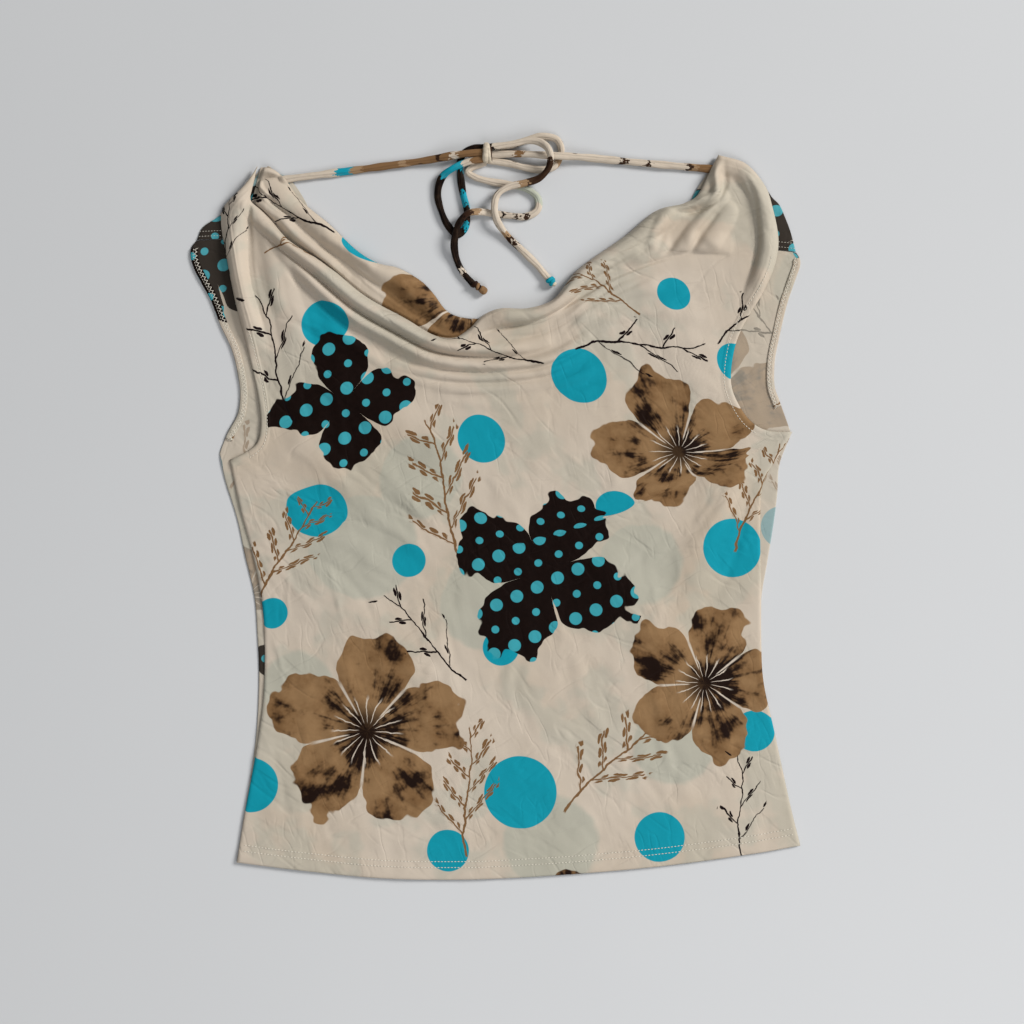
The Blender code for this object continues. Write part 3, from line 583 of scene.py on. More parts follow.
def cloth_shell(name: str, node: str, upper: Points, thickness: float, flat: Points, shows: ClothSide,
                jersey: bpy.types.Material) -> bpy.types.Object:
    """Makes a thin closed wall of cloth from the grid of its upper face, dresses it and settles it.

    Args:
        name: The piece's name.
        node: The CAD node that it stands for.
        upper: (x, y, z) points, rows by columns.
        thickness: The cloth's thickness, metres.
        flat: The flat cloth's places, rows by columns.
        shows: The side of the jersey that looks up.
        jersey: The jersey's material.

    Returns:
        The object, with its cloth map.
    """
    normal = unit(np.cross(np.gradient(upper, axis=1), np.gradient(upper, axis=0)))
    lower = upper - thickness * normal
    lower[..., 2] = np.maximum(lower[..., 2], 0.0)
    rows, columns = upper.shape[:2]
    count = rows * columns
    index = np.arange(count).reshape(rows, columns)
    quads = np.stack([index[:-1, :-1], index[:-1, 1:], index[1:, 1:], index[1:, :-1]], -1).reshape(-1, 4)
    rim = np.array([*index[0], *index[1:, -1], *index[-1, -2::-1], *index[-2:0:-1, 0]])
    after = np.roll(rim, -1)
    band = np.stack([rim, rim + count, after + count, after], -1)
    faces = np.vstack([quads, quads[:, ::-1] + count, band])
    points = np.vstack([upper.reshape(-1, 3), lower.reshape(-1, 3)])
    made = new_object(name, points, [tuple(face) for face in faces.tolist()])
    sides = np.repeat([shows.value, 1.0 - shows.value], count)
    set_cloth_map(made, np.vstack([flat.reshape(-1, 2)] * 2), sides)
    made.data.materials.append(jersey)
    settle(made, f"jersey_{shows.name.lower()}_side", node)
    return made


def tube(points: Points, half_width: Points, half_height: Points, turned: Points
         ) -> tuple[Points, Faces, Points]:
    """Sweeps a flattened round section along a line and closes both ends.

    Args:
        points: The centreline.
        half_width: The section's half width at each point, level with the ground.
        half_height: Its half height at each point.
        turned: How far the section is turned about the line at each point, radians.

    Returns:
        The vertices, the faces, and each vertex's (along, round) place on the flat cloth.
    """
    count, around = len(points), 14
    tangent = unit(np.gradient(points, axis=0))
    side = unit(np.cross(tangent, (0.0, 0.0, 1.0)))
    rise = np.cross(side, tangent)
    angle = np.linspace(0, 2 * np.pi, around, endpoint=False)[None, :]
    across, up = half_width[:, None] * np.cos(angle), half_height[:, None] * np.sin(angle)
    cos, sin = np.cos(turned)[:, None], np.sin(turned)[:, None]
    flat_x, flat_y = across * cos - up * sin, across * sin + up * cos
    ring = points[:, None] + flat_x[..., None] * side[:, None] + flat_y[..., None] * rise[:, None]
    steps = np.concatenate([[0], np.cumsum(np.linalg.norm(np.diff(points, axis=0), axis=1))])
    places = np.stack(np.broadcast_arrays(steps[:, None], CORD_GIRTH * angle), -1)
    index = np.arange(count * around).reshape(count, around)
    low, high = index[:-1], index[1:]
    quads = np.stack([low, np.roll(low, -1, axis=1), np.roll(high, -1, axis=1), high], -1).reshape(-1, 4)
    faces = [tuple(face) for face in quads[:, ::-1].tolist()]
    first = count * around
    for i in range(around):
        after = (i + 1) % around
        faces.append((first, i, after))
        faces.append((first + 1, first - around + after, first - around + i))
    vertices = np.vstack([ring.reshape(-1, 3), points[0], points[-1]])
    return vertices, faces, np.vstack([places.reshape(-1, 2), (0.0, 0.0), (steps[-1], 0.0)])


def spun(points: Points, degrees: float) -> Points:
    """Returns the points turned about the upright."""
    cos, sin = math.cos(math.radians(degrees)), math.sin(math.radians(degrees))
    x, y, z = points.T
    return np.column_stack([x * cos - y * sin, x * sin + y * cos, z])


def pebble(size: Points) -> tuple[Points, Faces]:
    """Makes a rounded block of the given size, flattened a little on its six sides: its points and faces."""
    segments, rings = 28, 18
    around = np.linspace(0, 2 * np.pi, segments, endpoint=False)
    up = np.linspace(-np.pi / 2, np.pi / 2, rings + 1)[1:-1]

    def rounded(value: Points) -> Points:
        """Returns a circle's value, drawn out towards a square's."""
        return np.sign(value) * np.abs(value) ** 0.75

    level, angle = np.meshgrid(up, around, indexing="ij")
    body = np.stack([0.5 * rounded(np.cos(level)) * rounded(np.cos(angle)),
                     0.5 * rounded(np.cos(level)) * rounded(np.sin(angle)),
                     0.5 * rounded(np.sin(level))], -1).reshape(-1, 3)
    points = np.vstack([[(0, 0, -0.5)], body, [(0, 0, 0.5)]]) * size
    faces, last = [], len(points) - 1
    for i in range(segments):
        after = (i + 1) % segments
        faces.append((0, 1 + after, 1 + i))
        faces.append((last, last - segments + i, last - segments + after))
        for ring in range(len(up) - 1):
            low = 1 + ring * segments
            faces.append((low + i, low + after, low + segments + after, low + segments + i))
    return points, faces


def srgb(red: float, green: float, blue: float) -> tuple[float, float, float, float]:
    """Returns a shader colour from display values of 0 to 255."""
    values = [v / 255 for v in (red, green, blue)]
    linear = [v / 12.92 if v <= 0.04045 else ((v + 0.055) / 1.055) ** 2.4 for v in values]
    return (linear[0], linear[1], linear[2], 1.0)


def add_node(tree: bpy.types.NodeTree, kind: str, settings: dict[str, object] | None = None,
             sockets: dict[str | int, object] | None = None) -> bpy.types.Node:
    """Adds a node.

    Args:
        tree: The tree that it goes into.
        kind: The node's type.
        settings: Its properties, set first. For a ramp, spread and stops, its (position, colour) pairs.
        sockets: Its inputs by name or number, each a Value, a socket or a constant.

    Returns:
        The node.
    """
    made = tree.nodes.new(kind)
    for name, value in (settings or {}).items():
        if name == "stops":
            ramp = made.color_ramp.elements
            while len(ramp) < len(value):
                ramp.new(1.0)
            for element, (position, colour) in zip(ramp, value):
                element.position = position
                element.color = colour
        elif name == "spread":
            made.color_ramp.interpolation = value
        else:
            setattr(made, name, value)
    for key, value in (sockets or {}).items():
        source = value.socket if isinstance(value, Value) else value
        if isinstance(source, bpy.types.NodeSocket):
            tree.links.new(source, made.inputs[key])
        else:
            made.inputs[key].default_value = source
    return made


def operator(operation: str, swapped: bool = False) -> Callable[..., "Value"]:
    """Makes one of Value's operators, which adds a Math node on its operands, swapped or not."""
    def apply(*values: "Number") -> "Value":
        """Adds the node and returns its result."""
        return values[0].recipe.math(operation, *(values[::-1] if swapped else values))
    return apply


class Value:
    """A number on a socket. Python's operators on it add Math nodes to its recipe."""

    __add__, __radd__ = operator("ADD"), operator("ADD", True)
    __sub__, __rsub__ = operator("SUBTRACT"), operator("SUBTRACT", True)
    __mul__, __rmul__ = operator("MULTIPLY"), operator("MULTIPLY", True)
    __truediv__, __pow__ = operator("DIVIDE"), operator("POWER")
    __lt__, __gt__ = operator("LESS_THAN"), operator("GREATER_THAN")
    least, most = operator("MINIMUM"), operator("MAXIMUM")
    __abs__, part = operator("ABSOLUTE"), operator("FRACT")

    def __init__(self, recipe: "Recipe", socket: bpy.types.NodeSocket) -> None:
        """Keeps the recipe and the socket."""
        self.recipe = recipe
        self.socket = socket

    def rising(self, low: float, high: float) -> "Value":
        """Returns 0 below low, 1 above high, eased between."""
        ramp = self.recipe.node("ShaderNodeMapRange", {"interpolation_type": "SMOOTHSTEP"},
                                {"Value": self, "From Min": low, "From Max": high})
        return Value(self.recipe, ramp.outputs["Result"])

    def falling(self, low: float, high: float) -> "Value":
        """Returns 1 below low, 0 above high, eased between."""
        return 1.0 - self.rising(low, high)


Number = Value | float
Colour = tuple[float, float, float, float]
Socket = bpy.types.NodeSocket


def darker(colour: Colour, share: float) -> Colour:
    """Returns a colour at a share of its light."""
    return tuple(share * value for value in colour[:3]) + (1.0,)


class Recipe:
    """A material's node tree, written as expressions."""

    def __init__(self, name: str) -> None:
        """Starts an empty material of the given name."""
        self.material = bpy.data.materials.new(name)
        self.material.use_nodes = True
        self.tree = self.material.node_tree
        self.tree.nodes.clear()

    def node(self, kind: str, settings: dict[str, object] | None = None,
             sockets: dict[str | int, object] | None = None) -> bpy.types.Node:
        """Adds a node of the given kind, as add_node does."""
        return add_node(self.tree, kind, settings, sockets)

    def math(self, operation: str, *values: Number) -> Value:
        """Adds a Math node on the given values and returns its result."""
        made = self.node("ShaderNodeMath", {"operation": operation}, dict(enumerate(values)))
        return Value(self, made.outputs[0])

    def vector(self, operation: str, *values: object) -> Socket:
        """Adds a Vector Math node and returns its vector."""
        made = self.node("ShaderNodeVectorMath", {"operation": operation}, dict(enumerate(values)))
        return made.outputs["Vector"]

    def measure(self, operation: str, *vectors: object) -> Value:
        """Returns the LENGTH of a vector, or the DISTANCE between two."""
        made = self.node("ShaderNodeVectorMath", {"operation": operation}, dict(enumerate(vectors)))
        return Value(self, made.outputs["Value"])

    def axes(self, vector: Socket) -> tuple[Value, Value, Value]:
        """Returns a vector's three parts."""
        made = self.node("ShaderNodeSeparateXYZ", None, {0: vector})
        return tuple(Value(self, made.outputs[k]) for k in range(3))

    def join(self, x: Number, y: Number, z: Number = 0.0) -> Socket:
        """Returns the vector with the given parts."""
        return self.node("ShaderNodeCombineXYZ", None, {0: x, 1: y, 2: z}).outputs[0]

    def mapped(self, vector: Socket, degrees: float, scale: Place, place: Place = (0.0, 0.0, 0.0)) -> Socket:
        """Returns a vector as measured from another place, turned and in another scale."""
        return self.node("ShaderNodeMapping", {"vector_type": "TEXTURE"}, {
            "Vector": vector, "Location": place, "Rotation": (0.0, 0.0, math.radians(degrees)),
            "Scale": scale}).outputs[0]

    def mix_vector(self, share: Number, first: object, second: object) -> Socket:
        """Returns first where share is 0 and second where it is 1."""
        return self.node("ShaderNodeMix", {"data_type": "VECTOR"}, {0: share, 4: first, 5: second}).outputs[1]

    def mix(self, share: Number, first: object, second: object) -> Socket:
        """Returns a colour: first where share is 0 and second where it is 1."""
        return self.node("ShaderNodeMix", {"data_type": "RGBA"}, {0: share, 6: first, 7: second}).outputs[2]

    def noise(self, vector: Socket, scale: float, detail: float = 2.0, rough: float = 0.5) -> bpy.types.Node:
        """Adds a noise texture on a vector and returns its node."""
        return self.node("ShaderNodeTexNoise", {"noise_dimensions": "3D"},
                         {"Vector": vector, "Scale": scale, "Detail": detail, "Roughness": rough})

    def noise_value(self, *settings: object) -> Value:
        """Returns a noise texture's value, about 0.5 on average. It takes what noise takes."""
        return Value(self, self.noise(*settings).outputs[0])

    def cloth_map(self) -> Socket:
        """Returns the piece's place on the flat cloth, metres."""
        return self.node("ShaderNodeUVMap", {"uv_map": "cloth"}).outputs[0]

    def place(self) -> Socket:
        """Returns the place in the piece's own frame, metres."""
        return self.node("ShaderNodeTexCoord").outputs["Object"]

    def finish(self, colour: object, rough: Number, height: Value | None = None, depth: float = 0.0,
               sheen: float = 0.0) -> bpy.types.Material:
        """Ends the recipe in a cloth shader.

        Args:
            colour: The base colour.
            rough: The roughness.
            height: What the relief follows, or none.
            depth: The relief's depth, metres.
            sheen: The sheen's weight.

        Returns:
            The material.
        """
        sockets: dict[str | int, object] = {"Base Color": colour, "Roughness": rough, "Metallic": 0.0,
                                            "Specular IOR Level": 0.05, "Sheen Weight": sheen,
                                            "Sheen Roughness": 0.45}
        if height is not None:
            relief = self.node("ShaderNodeBump", None, {"Strength": 1.0, "Distance": depth, "Height": height})
            sockets["Normal"] = relief.outputs[0]
        shader = self.node("ShaderNodeBsdfPrincipled", None, sockets)
        self.node("ShaderNodeOutputMaterial", None, {"Surface": shader.outputs[0]})
        return self.material


@dataclass(frozen=True)
class Motif:
    """One motif's place on the flat cloth: its centre and reach in millimetres, its turn in degrees."""

    x: float
    y: float
    reach: float
    turn: float = 0.0


@dataclass(frozen=True)
class SprigStyle:
    """How a sprig is drawn, in shares of its reach."""

    stem: float
    twig: float
    branches: float
    leaf_length: float
    leaf_width: float
    leaf_steps: float
    bend: float


DISCS: tuple[Motif, ...] = (
    Motif(-128, 12, 22), Motif(-62, -28, 12), Motif(-10, 62, 17), Motif(18, -196, 26), Motif(86, 22, 14),
    Motif(170, -18, 21), Motif(-160, -66, 11), Motif(-34, -238, 15), Motif(118, -228, 18),
    Motif(-122, 150, 17), Motif(60, 118, 20), Motif(172, 150, 13), Motif(-60, 186, 15), Motif(4, -92, 13),
    Motif(-176, -190, 20), Motif(128, 190, 12), Motif(186, -150, 15), Motif(-196, 96, 14),
)
BLOSSOMS: tuple[Motif, ...] = (
    Motif(-92, -152, 74, 12), Motif(132, 74, 62, 40), Motif(150, -116, 60, 75), Motif(-40, 236, 54, 20),
    Motif(60, -290, 40, 30),
)
LEAF_CLUSTERS: tuple[Motif, ...] = (
    Motif(34, -36, 72, 18), Motif(-108, 92, 52, 50), Motif(96, 300, 34, 35),
)
TAN_SPRIGS: tuple[Motif, ...] = (
    Motif(-36, 20, 62, 24), Motif(86, -172, 58, -34), Motif(-150, -20, 50, -18), Motif(70, 196, 46, 62),
    Motif(-20, -196, 50, 8), Motif(188, 20, 48, -12), Motif(-130, 226, 44, -50),
)
DARK_SPRIGS: tuple[Motif, ...] = (
    Motif(-158, 128, 52, 30), Motif(104, 148, 50, -64), Motif(-50, -84, 46, 58), Motif(176, -206, 40, 16),
    Motif(-2, 138, 42, 84), Motif(188, 190, 44, -30), Motif(-196, -120, 40, 8), Motif(-192, 226, 34, 14),
)
# Where the back's pattern shows faintly through the front
SHADOWS: tuple[Motif, ...] = (
    Motif(-96, -16, 40), Motif(-54, 34, 30), Motif(-6, -60, 34), Motif(104, -30, 30), Motif(-142, -120, 26),
    Motif(40, -232, 34), Motif(128, -160, 30),
)


@dataclass(frozen=True)
class PrintedJersey:
    """The printed jersey, both of its sides: discs, washed blossoms, dotted leaves and sprigs on cream."""

    cream: Colour = srgb(195, 182, 166)
    warm_cream: Colour = srgb(187, 172, 153)
    shadow: Colour = srgb(166, 167, 153)
    turquoise: Colour = srgb(16, 142, 160)
    dot: Colour = srgb(58, 151, 162)
    chocolate: Colour = srgb(14, 6, 4)
    light_tan: Colour = srgb(142, 111, 77)
    tan: Colour = srgb(112, 82, 52)
    dark_tan: Colour = srgb(28, 15, 9)
    sprig_tan: Colour = srgb(118, 87, 56)
    ink: Colour = srgb(18, 8, 9)
    wrong_cream: Colour = srgb(186, 176, 160)
    repeat_width: float = 0.48
    repeat_height: float = 0.64
    dot_pitch: float = 0.0160
    wale: float = 0.00055
    tan_style: SprigStyle = SprigStyle(0.010, 0.007, 2.6, 0.048, 0.021, 7.5, 0.15)
    dark_style: SprigStyle = SprigStyle(0.010, 0.008, 1.7, 0.045, 0.022, 3.2, 0.22)

    def spots(self, recipe: Recipe, cloth: Socket, motifs: tuple[Motif, ...]) -> Value:
        """Returns how far, in metres, each place lies outside the nearest disc. It is negative inside."""
        nearest: Value | None = None
        for motif in motifs:
            centre = (motif.x * MM, motif.y * MM, 0.0)
            outside = recipe.measure("DISTANCE", cloth, centre) - motif.reach * MM
            nearest = outside if nearest is None else nearest.least(outside)
        return nearest

    def local(self, recipe: Recipe, cloth: Socket, motifs: tuple[Motif, ...]) -> Socket:
        """Returns the place measured from the motif round it, 1 at its reach, or far off where none is."""
        found: object = (9.0, 9.0, 0.0)
        for motif in motifs:
            size = motif.reach * MM
            own = recipe.mapped(cloth, motif.turn, (size, size, 1.0), (motif.x * MM, motif.y * MM, 0.0))
            found = recipe.mix_vector(recipe.measure("LENGTH", own) < 1.08, found, own)
        return found

    def blossom(self, recipe: Recipe, cloth: Socket, wobble: Value) -> tuple[Value, Socket]:
        """Draws the washed blossoms.

        Args:
            recipe: The material's recipe.
            cloth: The place on the flat cloth.
            wobble: A small random value for hand-drawn edges.

        Returns:
            Their mask and their colour.
        """
        place = self.local(recipe, cloth, BLOSSOMS)
        x, y, _ = recipe.axes(place)
        far = recipe.measure("LENGTH", place)
        angle = recipe.math("ARCTAN2", y, x)
        petal = abs(recipe.math("COSINE", angle * 2.5))
        outline = 0.47 + 0.50 * petal ** 0.5 + wobble * 0.5
        mask = (outline - far).rising(0.0, 0.02)
        wash = recipe.noise_value(cloth, 34.0, 4.0, 0.6)
        direction = recipe.vector("NORMALIZE", place)
        spoke = recipe.vector("MULTIPLY", direction, (6.0, 6.0, 1.0))
        sx, sy, _ = recipe.axes(spoke)
        streak = recipe.noise_value(recipe.join(sx, sy, far * 1.6), 1.5, 2.0)
        pool = wash * 1.15 + streak * 0.45 - far * 0.16
        dark = pool.rising(0.70, 0.86)
        middle = far.falling(0.10, 0.34) * 0.85
        colour = recipe.mix(wash.rising(0.35, 0.65), self.light_tan, self.tan)
        colour = recipe.mix(dark.most(middle), colour, self.dark_tan)
        sliver = petal.falling(0.03, 0.11) * far.rising(0.16, 0.22) * far.falling(0.46, 0.60)
        rays = abs(recipe.math("SINE", angle * 8.0 + wash * 4.0)).falling(0.10, 0.26)
        stamens = rays * far.rising(0.07, 0.10) * far.falling(0.27, 0.37)
        colour = recipe.mix(sliver.most(stamens), colour, self.cream)
        return mask, colour

    def leaves(self, recipe: Recipe, cloth: Socket, wobble: Value) -> tuple[Value, Socket]:
        """Draws the dark four-leaf clusters with their dots, and returns their mask and colour."""
        place = self.local(recipe, cloth, LEAF_CLUSTERS)
        x, y, _ = recipe.axes(place)
        far = recipe.measure("LENGTH", place)
        turn = recipe.math("ARCTAN2", y, x) * (2.0 / math.pi)
        off_axis = abs(turn.part() - 0.5) * 2.0
        outline = 0.20 + 0.80 * (1.0 - off_axis).most(0.0) ** 0.34 + wobble * 0.6
        mask = (outline - far).rising(0.0, 0.015)
        gx, gy, _ = recipe.axes(recipe.mapped(cloth, 24.0, (self.dot_pitch, self.dot_pitch, 1.0)))
        row = recipe.math("FLOOR", gy)
        small = recipe.math("PINGPONG", row, 1.0)
        shifted = gx + small * 0.5
        near = recipe.measure("LENGTH", recipe.join(shifted.part() - 0.5, gy.part() - 0.5))
        dots = (near + small * 0.11).falling(0.27, 0.30)
        tone = recipe.noise_value(cloth, 300.0, 2.0)
        dark = recipe.mix(tone, self.chocolate, srgb(25, 13, 9))
        return mask, recipe.mix(dots, dark, self.dot)

    def sprigs(self, recipe: Recipe, cloth: Socket, motifs: tuple[Motif, ...], style: SprigStyle) -> Value:
        """Draws sprigs: a bent stem with side twigs and small leaves.

        Args:
            recipe: The material's recipe.
            cloth: The place on the flat cloth, a little disturbed for a hand-drawn line.
            motifs: The sprigs' places.
            style: Their widths and spacings.

        Returns:
            Their mask.
        """
        place = self.local(recipe, cloth, motifs)
        x, y, _ = recipe.axes(place)
        off = x - style.bend * recipe.math("SINE", y * 1.9)
        side = abs(off)
        stem = (side - (style.stem - 0.4 * style.stem * y)).falling(0.0, 0.006) * abs(y).falling(0.90, 0.93)
        climb = y - side * 1.05
        step = (climb * style.branches + 0.5 * (off > 0.0)).part() - 0.5
        across = abs(step) * (0.70 / style.branches)
        reach = 0.34 - 0.17 * climb
        held = climb.rising(-0.62, -0.58) * climb.falling(0.84, 0.88)
        twig = (across - style.twig).falling(0.0, 0.006) * (side - reach).falling(0.0, 0.01)
        beat = ((side * style.leaf_steps).part() - 0.5) / (style.leaf_steps * style.leaf_length)
        lift = (across - 0.034) / style.leaf_width
        leaf = (beat * beat + lift * lift).falling(0.8, 1.1) * (side - reach).falling(0.03, 0.05)
        leaf = leaf * side.rising(0.05, 0.07)
        return stem.most(twig.most(leaf) * held)

    def relief(self, recipe: Recipe, cloth: Socket) -> Value:
        """Returns the height of the jersey's fine crumples, wales and courses."""
        x, y, _ = recipe.axes(cloth)
        wales = abs(recipe.math("SINE", x * (math.pi / self.wale)))
        courses = recipe.math("SINE", y * (2 * math.pi / self.wale) + wales * 1.4)
        total = wales * 0.035 + courses * 0.015
        for turn, scale, weight in ((-38.0, 40.0, 1.0), (24.0, 54.0, 0.7), (-74.0, 70.0, 0.5)):
            wave = recipe.noise_value(recipe.mapped(cloth, turn, (3.0, 1.0, 1.0)), scale, 2.0)
            crease = abs(wave - 0.5).falling(0.0, 0.05)
            patchy = recipe.noise_value(cloth, 0.4 * scale, 1.0).rising(0.42, 0.62)
            total = total + wave * 1.2 * weight - crease * patchy * 0.36 * weight
        return total

    def material(self) -> bpy.types.Material:
        """Builds the jersey's material, which reads the wrong_side attribute."""
        recipe = Recipe("printed_jersey")
        across, up = self.repeat_width / 2, self.repeat_height / 2 + 0.02
        cloth = recipe.vector("WRAP", recipe.cloth_map(), (across, up, 1.0),
                              (-across, up - self.repeat_height, -1.0))
        shake = recipe.noise(cloth, 90.0, 3.0)
        wobble = recipe.noise_value(cloth, 52.0, 1.6) - 0.5
        push = recipe.vector("SCALE", recipe.vector("SUBTRACT", shake.outputs["Color"], (0.5, 0.5, 0.5)))
        push.node.inputs["Scale"].default_value = 0.006
        drawn = recipe.vector("ADD", cloth, push)

        tone = recipe.noise_value(cloth, 9.0, 3.0)
        colour = recipe.mix(tone.rising(0.35, 0.7), self.cream, self.warm_cream)
        hidden = self.spots(recipe, drawn, SHADOWS).falling(-0.0025, 0.0025)
        blots = recipe.noise_value(drawn, 17.0, 3.0, 0.6).rising(0.47, 0.56) * 0.55
        colour = recipe.mix(hidden.most(blots) * 0.72, colour, self.shadow)
        disc = self.spots(recipe, cloth, DISCS).falling(-0.0002, 0.0003)
        colour = recipe.mix(disc, colour, self.turquoise)
        colour = recipe.mix(self.sprigs(recipe, drawn, TAN_SPRIGS, self.tan_style), colour, self.sprig_tan)
        bloom, bloom_colour = self.blossom(recipe, cloth, wobble)
        colour = recipe.mix(bloom, colour, bloom_colour)
        leaf, leaf_colour = self.leaves(recipe, cloth, wobble)
        colour = recipe.mix(leaf, colour, leaf_colour)
        colour = recipe.mix(self.sprigs(recipe, drawn, DARK_SPRIGS, self.dark_style), colour, self.ink)

        side = recipe.node("ShaderNodeAttribute", {"attribute_name": "wrong_side"})
        wrong = Value(recipe, side.outputs["Fac"])
        colour = recipe.mix(wrong * (0.50 - 0.44 * leaf), colour, self.wrong_cream)
        rough = 0.50 + 0.10 * tone + 0.12 * wrong
        return recipe.finish(colour, rough, self.relief(recipe, cloth), 0.0007, 0.03)


CREAM = srgb(204, 190, 172)
PALE_TAN = srgb(158, 129, 98)
TAN = srgb(126, 95, 64)
UMBER = srgb(48, 30, 20)
COCOA = srgb(13, 6, 5)
TURQUOISE = srgb(20, 150, 170)
PALE_GREEN = srgb(180, 184, 168)


@dataclass(frozen=True)
class Thread:
    """Sewing thread."""

    name: str
    colour: Colour

    def material(self) -> bpy.types.Material:
        """Builds the thread's material, with its fine twist."""
        recipe = Recipe(self.name)
        tone = recipe.noise_value(recipe.place(), 900.0, 2.0)
        return recipe.finish(recipe.mix(tone, self.colour, darker(self.colour, 0.72)), 0.45 + 0.1 * tone)


@dataclass(frozen=True)
class CordColours:
    """The tie's jersey along one stretch: (share of the way, colour) patches, each up to the next."""

    name: str
    length: float
    patches: tuple[tuple[float, Colour], ...]

    def material(self) -> bpy.types.Material:
        """Builds the stretch's material: slanting patches, a lengthwise seam and fine creases."""
        recipe = Recipe(self.name)
        along, around, _ = recipe.axes(recipe.cloth_map())
        place = recipe.join(along, around * 2.0)
        tone = recipe.noise_value(place, 160.0, 3.0)
        ragged = recipe.noise_value(place, 330.0, 2.0) - 0.5
        share = (along + 0.012 * ragged + 0.0034 * recipe.math("SINE", around * 455.0)) / self.length
        ramp = recipe.node("ShaderNodeValToRGB", {"spread": "CONSTANT", "stops": self.patches}, {0: share})
        flecks = recipe.noise_value(recipe.join(along * 0.35, around * 0.9, 0.3), 240.0, 1.0)
        shade = recipe.mix(flecks.rising(0.72, 0.74) * 0.8, ramp.outputs[0], UMBER)
        fine = recipe.noise_value(recipe.join(along * 0.16, around), 1500.0, 3.0)
        shade = recipe.mix(tone.rising(0.35, 0.8) * 0.14, shade, srgb(120, 92, 68))
        seam = abs((around * 72.3 + 0.3).part() - 0.5).falling(0.012, 0.045)
        shade = recipe.mix(seam * 0.16, shade, srgb(60, 40, 30))
        return recipe.finish(shade, 0.50 + 0.12 * tone, fine - seam * 0.5, 0.00040, 0.03)


@dataclass(frozen=True)
class PlainColour:
    """A plain stretch of the tie's jersey, for its knots."""

    name: str
    colour: Colour

    def material(self) -> bpy.types.Material:
        """Builds the material, with fine creases."""
        recipe = Recipe(self.name)
        tone = recipe.noise_value(recipe.place(), 420.0, 3.0)
        colour = recipe.mix(tone.rising(0.3, 0.75), self.colour, darker(self.colour, 0.66))
        return recipe.finish(colour, 0.5 + 0.1 * tone, tone, 0.0005, 0.03)


@dataclass(frozen=True)
class FloorPaint:
    """The plain pale floor."""

    colour: Colour = srgb(206, 207, 208)

    def material(self) -> bpy.types.Material:
        """Builds the floor's material."""
        recipe = Recipe("pale_floor")
        tone = recipe.noise_value(recipe.place(), 3.0, 3.0)
        return recipe.finish(recipe.mix(tone * 0.3, self.colour, srgb(192, 193, 195)), 0.9)


